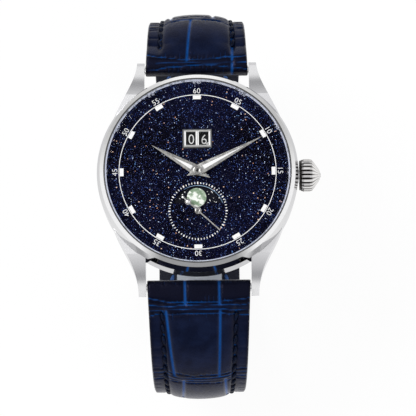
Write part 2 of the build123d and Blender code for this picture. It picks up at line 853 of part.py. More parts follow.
# Cannon pinion: sits on the centre arbor and carries the minute hand
with BuildPart() as cannon_pinion:
    with BuildSketch(Plane.XY.offset(cannon_z)):
        with BuildLine():
            Polyline(*gear_points(cannon_teeth, motion_module, 0), close=True)
        make_face()
    extrude(amount=hour_wheel_z - seat_gap - cannon_z)
    with BuildSketch(Plane.XY.offset(cannon_z)):
        Circle(cannon_tube_radius)
    extrude(amount=minute_hand_height + hand_thickness - cannon_z)
    with BuildSketch(Plane.XY.offset(cannon_z)):
        Circle(cannon_bore_radius)
    extrude(amount=minute_hand_height - cannon_z + seat_gap, mode=Mode.SUBTRACT)
cannon_pinion.part.label = "cannon_pinion"
export_step(cannon_pinion.part, "parts/cannon_pinion.step")

# Minute wheel of the motion work, with its pinion
minute_wheel_phase = mesh_phase(cannon_teeth, 0, minute_wheel_teeth, motion_direction)
hour_wheel_phase = mesh_phase(minute_pinion_teeth, 0, hour_wheel_teeth, motion_direction + 180)
with BuildPart() as minute_wheel:
    with BuildSketch(place(minute_wheel_x, minute_wheel_y, minute_wheel_z)):
        with BuildLine():
            Polyline(*gear_points(minute_wheel_teeth, motion_module, minute_wheel_phase), close=True)
        make_face()
    extrude(amount=wheel_thickness)
    with BuildSketch(place(minute_wheel_x, minute_wheel_y, minute_wheel_z)):
        with BuildLine():
            Polyline(*gear_points(minute_pinion_teeth, hour_module, 0), close=True)
        make_face()
    extrude(amount=hour_wheel_z + wheel_thickness - minute_wheel_z)
    with BuildSketch(place(minute_wheel_x, minute_wheel_y, minute_wheel_z)):
        Circle(arbor_radius + pivot_play)
    extrude(amount=overrun, mode=Mode.SUBTRACT)
minute_wheel.part.label = "minute_wheel"
export_step(minute_wheel.part, "parts/minute_wheel.step")

# Hour wheel: its tube turns on the cannon pinion and carries the hour hand
with BuildPart() as hour_wheel:
    with BuildSketch(Plane.XY.offset(hour_wheel_z)):
        with BuildLine():
            Polyline(*gear_points(hour_wheel_teeth, hour_module, hour_wheel_phase), close=True)
        make_face()
    extrude(amount=wheel_thickness)
    with BuildSketch(Plane.XY.offset(hour_wheel_z)):
        Circle(hour_tube_radius)
    extrude(amount=hour_hand_height + hand_thickness - hour_wheel_z)
    with BuildSketch(Plane.XY.offset(hour_wheel_z)):
        Circle(hour_tube_bore_radius)
    extrude(amount=hour_hand_height, mode=Mode.SUBTRACT)
hour_wheel.part.label = "hour_wheel"
export_step(hour_wheel.part, "parts/hour_wheel.step")

# Third wheel
third_direction = degrees(atan2(third_y, third_x))
third_pinion_phase = mesh_phase(centre_teeth, 0, third_pinion_teeth, third_direction)
with BuildPart() as third_wheel:
    with BuildSketch(place(third_x, third_y, third_wheel_z)):
        with BuildLine():
            Polyline(*gear_points(third_teeth, third_module, 0), close=True)
        make_face()
        add(wheel_spokes(wheel_hub_radius, third_module * third_teeth / 2 - spoke_width, spoke_width),
            mode=Mode.SUBTRACT)
    extrude(amount=wheel_thickness)
    with BuildSketch(place(third_x, third_y, centre_wheel_z - pinion_overlap)):
        with BuildLine():
            Polyline(*gear_points(third_pinion_teeth, centre_module, third_pinion_phase), close=True)
        make_face()
    extrude(amount=wheel_thickness + 2 * pinion_overlap)
    with BuildSketch(place(third_x, third_y, bridge_top + seat_gap)):
        Circle(arbor_radius)
    extrude(amount=plate_bottom - bridge_top - 2 * seat_gap)
    with BuildSketch(place(third_x, third_y, bridge_bottom + seat_gap)):
        Circle(pivot_radius)
    extrude(amount=plate_bottom + bridge_thickness - bridge_bottom)
third_wheel.part.label = "third_wheel"
export_step(third_wheel.part, "parts/third_wheel.step")

# Fourth wheel: turns once a minute, its long pivot carries the small seconds hand
fourth_direction = degrees(atan2(sub_dial_y - third_y, -third_x))
fourth_pinion_phase = mesh_phase(third_teeth, 0, fourth_pinion_teeth, fourth_direction)
with BuildPart() as fourth_wheel:
    with BuildSketch(place(0, sub_dial_y, fourth_wheel_z)):
        with BuildLine():
            Polyline(*gear_points(fourth_teeth, fourth_module, 0), close=True)
        make_face()
        add(wheel_spokes(wheel_hub_radius, fourth_module * fourth_teeth / 2 - spoke_width, spoke_width),
            mode=Mode.SUBTRACT)
    extrude(amount=wheel_thickness)
    with BuildSketch(place(0, sub_dial_y, third_wheel_z - pinion_overlap)):
        with BuildLine():
            Polyline(*gear_points(fourth_pinion_teeth, third_module, fourth_pinion_phase), close=True)
        make_face()
    extrude(amount=wheel_thickness + 2 * pinion_overlap)
    with BuildSketch(place(0, sub_dial_y, bridge_top + seat_gap)):
        Circle(arbor_radius)
    extrude(amount=seconds_hand_height + seconds_thickness - bridge_top - seat_gap)
    with BuildSketch(place(0, sub_dial_y, bridge_bottom + seat_gap)):
        Circle(pivot_radius)
    extrude(amount=bridge_thickness)
fourth_wheel.part.label = "fourth_wheel"
export_step(fourth_wheel.part, "parts/fourth_wheel.step")

# Escape wheel with fifteen pointed teeth
escape_pinion_phase = mesh_phase(fourth_teeth, 0, escape_pinion_teeth, escape_direction)
with BuildPart() as escape_wheel:
    with BuildSketch(place(escape_x, escape_y, escape_wheel_z)):
        with BuildLine():
            tooth_turn = balance_direction + 180 / escape_teeth
            Polyline(
                *pointed_points(escape_teeth, escape_root_radius, escape_tip_radius, tooth_turn), close=True
            )
        make_face()
        add(wheel_spokes(escape_hub_radius, escape_root_radius - spoke_width / 2, spoke_width),
            mode=Mode.SUBTRACT)
    extrude(amount=wheel_thickness)
    with BuildSketch(place(escape_x, escape_y, escape_wheel_z)):
        with BuildLine():
            Polyline(*gear_points(escape_pinion_teeth, fourth_module, escape_pinion_phase), close=True)
        make_face()
    extrude(amount=fourth_wheel_z + wheel_thickness + pinion_overlap - escape_wheel_z)
    with BuildSketch(place(escape_x, escape_y, bridge_bottom + seat_gap)):
        Circle(pivot_radius)
    extrude(amount=plate_bottom + bridge_thickness - bridge_bottom)
escape_wheel.part.label = "escape_wheel"
export_step(escape_wheel.part, "parts/escape_wheel.step")

# Pallet fork: two stones at the escape wheel, a notch at the balance roller
fork_length = pallet_to_balance - roller_radius - 2 * seat_gap
fork_plane = Plane(
    origin=(pallet_x, pallet_y, escape_wheel_z),
    x_dir=(cos(radians(balance_direction)), sin(radians(balance_direction)), 0),
    z_dir=(0, 0, 1),
)
with BuildPart() as pallet_fork:
    with BuildSketch(fork_plane):
        with Locations((fork_length / 2, 0)):
            Rectangle(fork_length, fork_width)
        with Locations((fork_length - fork_width, 0)):
            Rectangle(2 * fork_width, fork_head_width)
        with Locations((fork_length, 0)):
            Rectangle(fork_width, fork_width, mode=Mode.SUBTRACT)
        Rectangle(2 * fork_width, 2 * pallet_arm)
        with Locations((-fork_width, pallet_arm), (-fork_width, -pallet_arm)):
            Rectangle(2 * fork_width, fork_width)
    extrude(amount=wheel_thickness)
    with BuildSketch(place(pallet_x, pallet_y, bridge_bottom + seat_gap)):
        Circle(pivot_radius)
    extrude(amount=plate_bottom + bridge_thickness - bridge_bottom)
pallet_fork.part.label = "pallet_fork"
export_step(pallet_fork.part, "parts/pallet_fork.step")

# Balance wheel with its staff and roller
with BuildPart() as balance_wheel:
    with BuildSketch(place(balance_x, balance_y, balance_z)):
        Circle(balance_radius)
        Circle(balance_radius - balance_rim, mode=Mode.SUBTRACT)
    extrude(amount=balance_height)
    with BuildSketch(place(balance_x, balance_y, balance_z)):
        Rectangle(2 * balance_radius - balance_rim, spoke_width)
        Circle(balance_hub_radius)
    extrude(amount=wheel_thickness)
    with BuildSketch(place(balance_x, balance_y, roller_z)):
        Circle(roller_radius)
    extrude(amount=wheel_thickness)
    with BuildSketch(place(balance_x, balance_y, hairspring_z - seat_gap)):
        Circle(hairspring_inner_radius - 2 * seat_gap)
    extrude(amount=balance_z - hairspring_z + seat_gap)
    with BuildSketch(place(balance_x, balance_y, bridge_top + seat_gap)):
        Circle(arbor_radius)
    extrude(amount=plate_bottom - bridge_top - 2 * seat_gap)
    with BuildSketch(place(balance_x, balance_y, bridge_bottom + seat_gap)):
        Circle(pivot_radius)
    extrude(amount=plate_bottom + bridge_thickness - bridge_bottom)
balance_wheel.part.label = "balance_wheel"
export_step(balance_wheel.part, "parts/balance_wheel.step")

# Hairspring: a flat spiral of half turns, its outer end at the stud under the cock
with BuildPart() as hairspring:
    with BuildSketch(hairspring_plane(hairspring_z)):
        with BuildLine():
            for number in range(2 * hairspring_turns):
                turn_radius = hairspring_inner_radius + number * hairspring_pitch / 2
                turn_centre = (hairspring_pitch / 2 * (number % 2), 0)
                CenterArc(turn_centre, turn_radius, 180 * (number % 2), 180)
                CenterArc(turn_centre, turn_radius + hairspring_width, 180 * (number % 2), 180)
            Line((hairspring_inner_radius, 0), (hairspring_inner_radius + hairspring_width, 0))
            Line((hairspring_end_radius - hairspring_width, 0), (hairspring_end_radius, 0))
        make_face()
    extrude(amount=hairspring_height)
hairspring.part.label = "hairspring"
export_step(hairspring.part, "parts/hairspring.step")

# Mainspring barrel: closed drum with its tooth ring, free to turn on the arbor
with BuildPart() as mainspring_barrel:
    with BuildSketch(place(barrel_x, barrel_y, barrel_z)):
        Circle(barrel_drum_radius)
    extrude(amount=barrel_height)
    with BuildSketch(place(barrel_x, barrel_y, barrel_tooth_z)):
        with BuildLine():
            Polyline(*gear_points(barrel_teeth, barrel_module, 0), close=True)
        make_face()
    extrude(amount=barrel_tooth_height)
    with BuildSketch(place(barrel_x, barrel_y, barrel_z)):
        Circle(barrel_arbor_radius + pivot_play)
    extrude(amount=barrel_height, mode=Mode.SUBTRACT)
mainspring_barrel.part.label = "mainspring_barrel"
export_step(mainspring_barrel.part, "parts/mainspring_barrel.step")

# Crown wheel, driven by the winding pinion: one of its gaps faces the pinion's top tooth
crown_wheel_phase = 180 / crown_wheel_teeth
with BuildPart() as crown_wheel:
    with BuildSketch(place(crown_wheel_x, 0, ratchet_z)):
        with BuildLine():
            Polyline(*gear_points(crown_wheel_teeth, winding_module, crown_wheel_phase), close=True)
        make_face()
        Circle(barrel_arbor_radius + pivot_play, mode=Mode.SUBTRACT)
    extrude(amount=ratchet_thickness)
crown_wheel.part.label = "crown_wheel"
export_step(crown_wheel.part, "parts/crown_wheel.step")

# Ratchet wheel with the barrel arbor
crown_to_ratchet = degrees(atan2(barrel_y, barrel_x - crown_wheel_x))
ratchet_phase = mesh_phase(crown_wheel_teeth, crown_wheel_phase, ratchet_teeth, crown_to_ratchet)
with BuildPart() as ratchet_wheel:
    with BuildSketch(place(barrel_x, barrel_y, ratchet_z)):
        with BuildLine():
            Polyline(*gear_points(ratchet_teeth, winding_module, ratchet_phase), close=True)
        make_face()
    extrude(amount=ratchet_thickness)
    with BuildSketch(place(barrel_x, barrel_y, ratchet_z)):
        Circle(barrel_arbor_radius)
    extrude(amount=plate_top - seat_gap - ratchet_z)
ratchet_wheel.part.label = "ratchet_wheel"
export_step(ratchet_wheel.part, "parts/ratchet_wheel.step")

# Rotor: a half ring of heavy metal on a thin web
with BuildPart() as rotor:
    with BuildSketch(Plane.XY.offset(rotor_z + seat_gap)) as rotor_weight:
        Circle(rotor_radius)
        Circle(rotor_radius - rotor_rim, mode=Mode.SUBTRACT)
        with Locations((0, rotor_radius)):
            Rectangle(2 * rotor_radius, 2 * rotor_radius, mode=Mode.SUBTRACT)
    extrude(amount=rotor_weight_height)
    with BuildSketch(Plane.XY.offset(rotor_z + rotor_weight_height - rotor_web)):
        Circle(rotor_radius - rotor_rim / 2)
        with BuildSketch(mode=Mode.PRIVATE) as rotor_window:
            Circle(rotor_radius - 2 * rotor_rim)
            Circle(2 * rotor_hub_radius, mode=Mode.SUBTRACT)
            with PolarLocations(0, rotor_arm_count):
                Rectangle(2 * rotor_radius, rotor_rim, mode=Mode.SUBTRACT)
        add(rotor_window.sketch, mode=Mode.SUBTRACT)
        with Locations((0, rotor_radius)):
            Rectangle(2 * rotor_radius, 2 * rotor_radius, mode=Mode.SUBTRACT)
        Circle(rotor_hub_radius)
    extrude(amount=rotor_web)
    with BuildSketch(Plane.XY.offset(rotor_z + bearing_seat_height)):
        Circle(rotor_hub_radius)
    extrude(amount=rotor_weight_height)
    with BuildSketch(Plane.XY.offset(rotor_z)):
        Circle(rotor_post_radius + pivot_play)
    extrude(amount=2 * rotor_weight_height, mode=Mode.SUBTRACT)
    with BuildSketch(Plane.XY.offset(rotor_z)):
        Circle(bearing_cap_radius + seat_gap)
    extrude(amount=bearing_cap_height + seat_gap, mode=Mode.SUBTRACT)
rotor.part.label = "rotor"
export_step(rotor.part, "parts/rotor.step")

# Post and cap that the rotor turns on
with BuildPart() as rotor_bearing:
    with BuildSketch(Plane.XY.offset(rotor_z)):
        Circle(rotor_post_radius)
    extrude(amount=bridge_bottom - rotor_z)
    with BuildSketch(Plane.XY.offset(rotor_z)):
        Circle(bearing_cap_radius)
    extrude(amount=bearing_cap_height)
rotor_bearing.part.label = "rotor_bearing"
export_step(rotor_bearing.part, "parts/rotor_bearing.step")

# Dial: two date windows and the moon's aperture with its two shoulders
with BuildPart() as dial:
    with BuildSketch(Plane.XY.offset(dial_underside)):
        Circle(dial_radius)
        Circle(centre_hole_radius, mode=Mode.SUBTRACT)
        with Locations((-date_window_x, date_y), (date_window_x, date_y)):
            Rectangle(date_window_width, date_window_height, mode=Mode.SUBTRACT)
        with BuildSketch(mode=Mode.PRIVATE) as aperture:
            Circle(aperture_radius)
            with Locations((0, aperture_shoulder - aperture_radius)):
                Rectangle(2 * aperture_radius, 2 * aperture_radius, mode=Mode.SUBTRACT)
            with Locations((0, moon_offset)):
                Circle(aperture_round_radius)
        with Locations((0, sub_dial_y)):
            add(aperture.sketch, mode=Mode.SUBTRACT)
            Circle(seconds_hole_radius, mode=Mode.SUBTRACT)
    extrude(amount=dial_thickness)
dial.part.label = "dial"
export_step(dial.part, "parts/dial.step")

# Twelve raised hour blocks just inside the minute ring
with BuildPart() as hour_blocks:
    with BuildSketch(Plane.XY.offset(dial_height)):
        with PolarLocations(ring_radius - block_ring_gap - block_depth / 2, 12):
            Rectangle(block_depth, block_width)
    extrude(amount=block_height)
hour_blocks.part.label = "hour_blocks"
export_step(hour_blocks.part, "parts/hour_blocks.step")

# Raised frame with a bar between the two date windows
with BuildPart() as date_frame:
    with BuildSketch(Plane.XY.offset(dial_height)):
        with Locations((0, date_y)):
            Rectangle(date_frame_width, date_frame_height)
        with Locations((-date_window_x, date_y), (date_window_x, date_y)):
            Rectangle(date_window_width, date_window_height, mode=Mode.SUBTRACT)
    extrude(amount=date_frame_rise)
    chamfer(date_frame.faces().sort_by(Axis.Z)[-1].outer_wire().edges(), date_frame_bevel)
date_frame.part.label = "date_frame"
export_step(date_frame.part, "parts/date_frame.step")

# The two date discs side by side, the tens over the units
for disc_name, disc_x, disc_z in (
    ("date_units_disc", date_disc_x, units_disc_z),
    ("date_tens_disc", -date_disc_x, tens_disc_z),
):
    with BuildPart() as date_disc:
        with BuildSketch(place(disc_x, date_disc_y, disc_z)):
            Circle(date_disc_radius)
            Circle(disc_stud_radius + pivot_play, mode=Mode.SUBTRACT)
        extrude(amount=date_disc_thickness)
    date_disc.part.label = disc_name
    export_step(date_disc.part, f"parts/{disc_name}.step")

# Moon disc with its fifty-nine teeth, under the aperture
with BuildPart() as moon_disc:
    with BuildSketch(place(0, sub_dial_y, moon_disc_z)):
        with BuildLine():
            Polyline(
                *pointed_points(moon_teeth, moon_disc_radius - moon_tooth_depth, moon_disc_radius, 0),
                close=True,
            )
        make_face()
        Circle(moon_pipe_radius + pivot_play, mode=Mode.SUBTRACT)
    extrude(amount=date_disc_thickness)
moon_disc.part.label = "moon_disc"
export_step(moon_disc.part, "parts/moon_disc.step")


def hand_plane(angle, height, y=0.0):
    """Level plane whose Y points along a hand; the angle is clockwise from 12."""
    turn = radians(angle)
    return Plane(origin=(0, y, height), x_dir=(cos(turn), -sin(turn), 0), z_dir=(0, 0, 1))


def roof_plane(angle, height):
    """Plane across a hand, its Y upwards."""
    turn = radians(angle)
    return Plane(origin=(0, 0, height), x_dir=(cos(turn), -sin(turn), 0), z_dir=(-sin(turn), -cos(turn), 0))


# Hour and minute hands: kites with a ridge, and a white inlay let into the ridge
hand_table = (
    ("hour", hour_angle, hour_hand_height, hour_length, hour_tail, hour_width, hour_tube_radius,
     hour_inlay_start, hour_inlay_end),
    ("minute", minute_angle, minute_hand_height, minute_length, minute_tail, minute_width,
     cannon_tube_radius, minute_inlay_start, minute_inlay_end),
)
for name, angle, height, length, tail, width, tube, inlay_start, inlay_end in hand_table:
    with BuildSketch(hand_plane(angle, height)) as inlay_outline:
        with BuildLine():
            Polyline(
                (-inlay_width / 2, inlay_start), (inlay_width / 2, inlay_start), (0, inlay_end), close=True
            )
        make_face()
    with BuildPart() as hand:
        with BuildSketch(hand_plane(angle, height)):
            with BuildLine():
                Polyline(
                    (0, length), (width / 2, hand_waist), (hub_radius, 0), (0, -tail), (-hub_radius, 0),
                    (-width / 2, hand_waist), close=True,
                )
            make_face()
            Circle(hub_radius)
        extrude(amount=hand_thickness)
        with BuildSketch(roof_plane(angle, height)):
            with BuildLine():
                Polyline(
                    (-width / 2, 0), (width / 2, 0), (width / 2, hand_edge_height), (0, hand_thickness),
                    (-width / 2, hand_edge_height), close=True,
                )
            make_face()
        extrude(amount=length + overrun, both=True, mode=Mode.INTERSECT)
        with BuildSketch(hand_plane(angle, height)):
            Circle(tube + fit_gap)
        extrude(amount=hand_thickness, mode=Mode.SUBTRACT)
        extrude(inlay_outline.sketch, amount=hand_thickness, mode=Mode.SUBTRACT)
    hand.part.label = f"{name}_hand"
    export_step(hand.part, f"parts/{name}_hand.step")
    with BuildPart() as hand_inlay:
        extrude(inlay_outline.sketch, amount=hand_edge_height + inlay_rise)
    hand_inlay.part.label = f"{name}_hand_inlay"
    export_step(hand_inlay.part, f"parts/{name}_hand_inlay.step")

# Small seconds hand with its round counterweight
with BuildPart() as seconds_hand:
    with BuildSketch(hand_plane(seconds_angle, seconds_hand_height, sub_dial_y)):
        with Locations((0, (seconds_length - seconds_tail) / 2)):
            Rectangle(seconds_hand_width, seconds_length + seconds_tail)
        with Locations((0, -seconds_tail)):
            Circle(counterweight_radius)
        Circle(seconds_hub_radius)
        Circle(arbor_radius + fit_gap, mode=Mode.SUBTRACT)
    extrude(amount=seconds_thickness)
seconds_hand.part.label = "seconds_hand"
export_step(seconds_hand.part, "parts/seconds_hand.step")

# Crown: an onion of twenty-four flutes, bored out over the crown tube
with BuildPart() as crown:
    for station_share, radius_share in zip(crown_station_shares, crown_radius_shares):
        with BuildSketch(Plane.YZ.offset(crown_base_x + station_share * crown_length)):
            with BuildLine():
                flutes = fluted_points(radius_share * crown_radius, radius_share * flute_depth)
                Polyline(*[(y, z + stem_height) for y, z in flutes], close=True)
            make_face()
    loft(ruled=True)
    with BuildSketch(Plane.YZ.offset(crown_base_x)):
        with Locations((0, stem_height)):
            Circle(crown_collar_share * crown_radius)
    extrude(amount=crown_station_shares[0] * crown_length)
    with BuildSketch(Plane.YZ.offset(crown_base_x + crown_station_shares[-1] * crown_length)):
        with Locations((0, stem_height)):
            Circle(crown_radius_shares[-1] * crown_radius - flute_depth)
    extrude(amount=(1 - crown_station_shares[-1]) * crown_length)
    with BuildSketch(Plane.YZ.offset(crown_base_x)):
        with Locations((0, stem_height)):
            Circle(crown_bore_radius)
    extrude(amount=crown_bore_depth, mode=Mode.SUBTRACT)
    with BuildSketch(Plane.YZ.offset(crown_base_x)):
        with Locations((0, stem_height)):
            Circle(stem_radius + fit_gap)
    extrude(amount=crown_bore_depth + stem_thread_length + seat_gap, mode=Mode.SUBTRACT)
crown.part.label = "crown"
export_step(crown.part, "parts/crown.step")

# Gasket ring inside the crown, round the tube
with BuildPart() as crown_gasket:
    with BuildSketch(Plane.YZ.offset(crown_base_x + crown_gasket_inset)):
        with Locations((0, stem_height)):
            Circle(crown_bore_radius - fit_gap)
            Circle(tube_radius + fit_gap, mode=Mode.SUBTRACT)
    extrude(amount=crown_gasket_width)
crown_gasket.part.label = "crown_gasket"
export_step(crown_gasket.part, "parts/crown_gasket.step")

# Tube pressed into the case for the crown
with BuildPart() as crown_tube:
    with BuildSketch(Plane.YZ.offset(tube_inner_x)):
        with Locations((0, stem_height)):
            Circle(tube_radius)
            Circle(tube_bore_radius, mode=Mode.SUBTRACT)
    extrude(amount=tube_outer_x - tube_inner_x)
crown_tube.part.label = "crown_tube"
export_step(crown_tube.part, "parts/crown_tube.step")

# Winding stem with the groove that the setting lever grips
with BuildPart() as winding_stem:
    with BuildSketch(Plane.YZ.offset(stem_inner_x)):
        with Locations((0, stem_height)):
            Circle(stem_radius)
    extrude(amount=crown_base_x + crown_bore_depth + stem_thread_length - stem_inner_x)
    with BuildSketch(Plane.YZ.offset(stem_groove_x)):
        with Locations((0, stem_height)):
            Circle(stem_radius + overrun)
            Circle(stem_groove_radius, mode=Mode.SUBTRACT)
    extrude(amount=stem_groove_length, mode=Mode.SUBTRACT)
winding_stem.part.label = "winding_stem"
export_step(winding_stem.part, "parts/winding_stem.step")

# Forked end of the setting lever in the stem's groove
with BuildPart() as setting_lever:
    with BuildSketch(Plane.YZ.offset(stem_groove_x + seat_gap)):
        with Locations((0, stem_height + lever_height / 2 - lever_foot)):
            Rectangle(lever_width, lever_height)
        with BuildSketch(mode=Mode.PRIVATE) as lever_slot:
            with Locations((0, stem_height), (0, stem_height - lever_height)):
                Circle(stem_groove_radius + pivot_play)
            make_hull()
        add(lever_slot.sketch, mode=Mode.SUBTRACT)
    extrude(amount=stem_groove_length - 2 * seat_gap)
setting_lever.part.label = "setting_lever"
export_step(setting_lever.part, "parts/setting_lever.step")

# Winding pinion, loose on the stem, its top tooth in a gap of the crown wheel
winding_module_own = 2 * winding_pinion_radius / winding_teeth
with BuildPart() as winding_pinion:
    with BuildSketch(Plane.YZ.offset(winding_pinion_x - pinion_overlap)):
        with BuildLine():
            pinion_teeth = gear_points(winding_teeth, winding_module_own, -90)
            Polyline(*[(y, z + stem_height) for y, z in pinion_teeth], close=True)
        make_face()
        with Locations((0, stem_height)):
            Circle(stem_radius + pivot_play, mode=Mode.SUBTRACT)
    extrude(amount=winding_pinion_length)
winding_pinion.part.label = "winding_pinion"
export_step(winding_pinion.part, "parts/winding_pinion.step")

# Spring bars between the lugs
for bar_name, bar_y in (("spring_bar_12", spring_bar_y), ("spring_bar_6", -spring_bar_y)):
    with BuildPart() as spring_bar:
        with BuildSketch(Plane.YZ):
            with Locations((bar_y, spring_bar_z)):
                Circle(spring_bar_radius)
        extrude(amount=lug_gap / 2 - seat_gap, both=True)
        with BuildSketch(Plane.YZ):
            with Locations((bar_y, spring_bar_z)):
                Circle(spring_bar_tip_radius)
        extrude(amount=lug_gap / 2 + spring_bar_tip_length, both=True)
    spring_bar.part.label = bar_name
    export_step(spring_bar.part, f"parts/{bar_name}.step")


# The strap loop: each half runs out from its spring bar on one arc, down on a second, and along the
# bottom on the arc that both halves share. Angles are measured from +Y, seen from the crown's side.


def strap_arcs(turn, side):
    """The half's three arcs as (centre out, centre up, radius, first angle, last angle)."""
    loop_centre = side * loop_centre_y
    reach = spring_bar_y + turn - loop_centre
    reach_z = spring_bar_z - turn
    rise = loop_centre_z - reach_z
    side_radius = (loop_bottom_radius**2 - reach**2 - rise**2) / (2 * (loop_bottom_radius - reach))
    join = degrees(atan2(-rise, reach - side_radius))
    end = -90 + degrees((clasp_bar_offset - clasp_eye_radius) / loop_bottom_radius)
    return (
        (spring_bar_y, reach_z, turn, 90, 0),
        (spring_bar_y + turn - side_radius, reach_z, side_radius, 0, join),
        (loop_centre, loop_centre_z, loop_bottom_radius, join, end),
    )


def strap_station(turn, side, distance):
    """Point and outward direction of the centre line, as (out, up, angle of the outward normal)."""
    distance -= spring_bar_y - strap_end_y
    if distance < 0:
        return spring_bar_y + distance, spring_bar_z, 90
    for out, up, radius, first, last in strap_arcs(turn, side):
        length = radius * radians(first - last)
        angle = first - degrees(distance / radius)
        if distance <= length:
            break
        distance -= length
    return out + radius * cos(radians(angle)), up + radius * sin(radians(angle)), angle


def strap_length(turn, side):
    """Length of a half from its flat end at the case to its end at the clasp."""
    arc_lengths = [radius * radians(first - last) for _, _, radius, first, last in strap_arcs(turn, side)]
    return spring_bar_y - strap_end_y + sum(arc_lengths)


def strap_plane(turn, side, distance):
    """Plane across the strap: X along the spring bar, Y outwards; side is 1 towards 12 and -1 towards 6."""
    out, up, angle = strap_station(turn, side, distance)
    along = (0, side * sin(radians(angle)), -cos(radians(angle)))
    z_dir = (0, -side * along[1], -side * along[2])
    return Plane(origin=(0, side * out, up), x_dir=(1, 0, 0), z_dir=z_dir)


def strap_size(distance):
    """Width and thickness of the strap at a distance from its end."""
    share = min(distance / strap_taper_length, 1)
    width = strap_width_lug + (strap_width_clasp - strap_width_lug) * share
    thickness = strap_thickness_lug + (strap_thickness_clasp - strap_thickness_lug) * share
    return width, thickness


for strap_name, side, turn in (("12", 1, strap_12_turn), ("6", -1, strap_6_turn)):
    whole_length = strap_length(turn, side)
    even = [whole_length * number / (strap_stations - 1) for number in range(1, strap_stations)]
    distances = [*strap_block_stations, *even]
    # Padded upper leather: flat margins and a crowned middle
    with BuildPart() as strap_upper:
        for distance in distances:
            width, thickness = strap_size(distance)
            start_share = max(strap_start_share, min((distance - strap_block_length) / strap_block_length, 1))
            end_share = min((whole_length - distance) / strap_clasp_length + strap_clasp_share, 1)
            edge_height = thickness / 2 - thickness * margin_drop_share * start_share * end_share
            with BuildSketch(strap_plane(turn, side, distance)):
                with BuildLine():
                    foot = lining_thickness - thickness / 2
                    Line((-width / 2, edge_height), (-width / 2, foot))
                    Line((-width / 2, foot), (width / 2, foot))
                    Line((width / 2, foot), (width / 2, edge_height))
                    Line((width / 2, edge_height), (width / 2 - strap_margin, edge_height))
                    ThreePointArc(
                        (width / 2 - strap_margin, edge_height),
                        (0, thickness / 2),
                        (strap_margin - width / 2, edge_height),
                    )
                    Line((strap_margin - width / 2, edge_height), (-width / 2, edge_height))
                make_face()
        loft(ruled=True)
        with BuildSketch(Plane.YZ):
            with Locations((side * spring_bar_y, spring_bar_z)):
                Circle(strap_bar_hole_radius)
        extrude(amount=strap_width_lug, both=True, mode=Mode.SUBTRACT)
        end_out, end_up, end_angle = strap_station(turn, side, whole_length - clasp_eye_radius)
        with BuildSketch(Plane.YZ):
            with Locations((side * end_out, end_up)):
                Circle(clasp_bar_radius + seat_gap)
        extrude(amount=strap_width_lug, both=True, mode=Mode.SUBTRACT)
    strap_upper.part.label = f"strap_{strap_name}"
    export_step(strap_upper.part, f"parts/strap_{strap_name}.step")
    # Thin lining on the wrist side
    with BuildPart() as strap_lining:
        for distance in distances:
            width, thickness = strap_size(distance)
            with BuildSketch(strap_plane(turn, side, distance)):
                with Locations((0, (lining_thickness - seat_gap - thickness) / 2)):
                    Rectangle(width - 2 * seat_gap, lining_thickness - seat_gap)
        loft(ruled=True)
    strap_lining.part.label = f"strap_lining_{strap_name}"
    export_step(strap_lining.part, f"parts/strap_lining_{strap_name}.step")

# Butterfly clasp: base blade inside, two leaves over it, each leaf holding a strap half on a bar
leaf_outer_radius = loop_bottom_radius - strap_thickness_clasp / 2 - clasp_gap
leaf_inner_radius = leaf_outer_radius - clasp_blade_thickness
base_outer_radius = leaf_inner_radius - clasp_gap
base_inner_radius = base_outer_radius - clasp_blade_thickness
hinge_radius = (leaf_inner_radius + base_outer_radius) / 2
hinge_swing = degrees(clasp_half_length / hinge_radius)
bar_swing = degrees(clasp_bar_offset / loop_bottom_radius)


def loop_point(radius, swing):
    """Point of the loop's bottom arc, seen from the crown's side; swing is the angle from straight down."""
    return loop_centre_y + radius * sin(radians(swing)), loop_centre_z - radius * cos(radians(swing))


def loop_band(inner, outer, first, last):
    """Strip along the loop's bottom arc between two swings, as a sketch."""
    with BuildSketch(Plane.YZ) as strip:
        with BuildLine():
            CenterArc((loop_centre_y, loop_centre_z), inner, first - 90, last - first)
            CenterArc((loop_centre_y, loop_centre_z), outer, first - 90, last - first)
            Line(loop_point(inner, first), loop_point(outer, first))
            Line(loop_point(inner, last), loop_point(outer, last))
        make_face()
    return strip.sketch


# Base blade with two knuckles at each end
with BuildPart() as clasp_base:
    extrude(loop_band(base_inner_radius, base_outer_radius, -hinge_swing, hinge_swing),
            amount=clasp_width / 2, both=True)
    for swing in (-hinge_swing, hinge_swing):
        with BuildSketch(Plane.YZ):
            with Locations(loop_point(hinge_radius, swing)):
                Circle(clasp_knuckle_radius)
        extrude(amount=clasp_width / 2, both=True)
        with BuildSketch(Plane.YZ):
            with Locations(loop_point(hinge_radius, swing)):
                Circle(clasp_knuckle_radius + clasp_gap)
        extrude(amount=clasp_knuckle_length / 2 + seat_gap, both=True, mode=Mode.SUBTRACT)
        with BuildSketch(Plane.YZ):
            with Locations(loop_point(hinge_radius, swing)):
                Circle(clasp_pin_radius + fit_gap)
        extrude(amount=clasp_width, both=True, mode=Mode.SUBTRACT)
clasp_base.part.label = "clasp_base"
export_step(clasp_base.part, "parts/clasp_base.step")

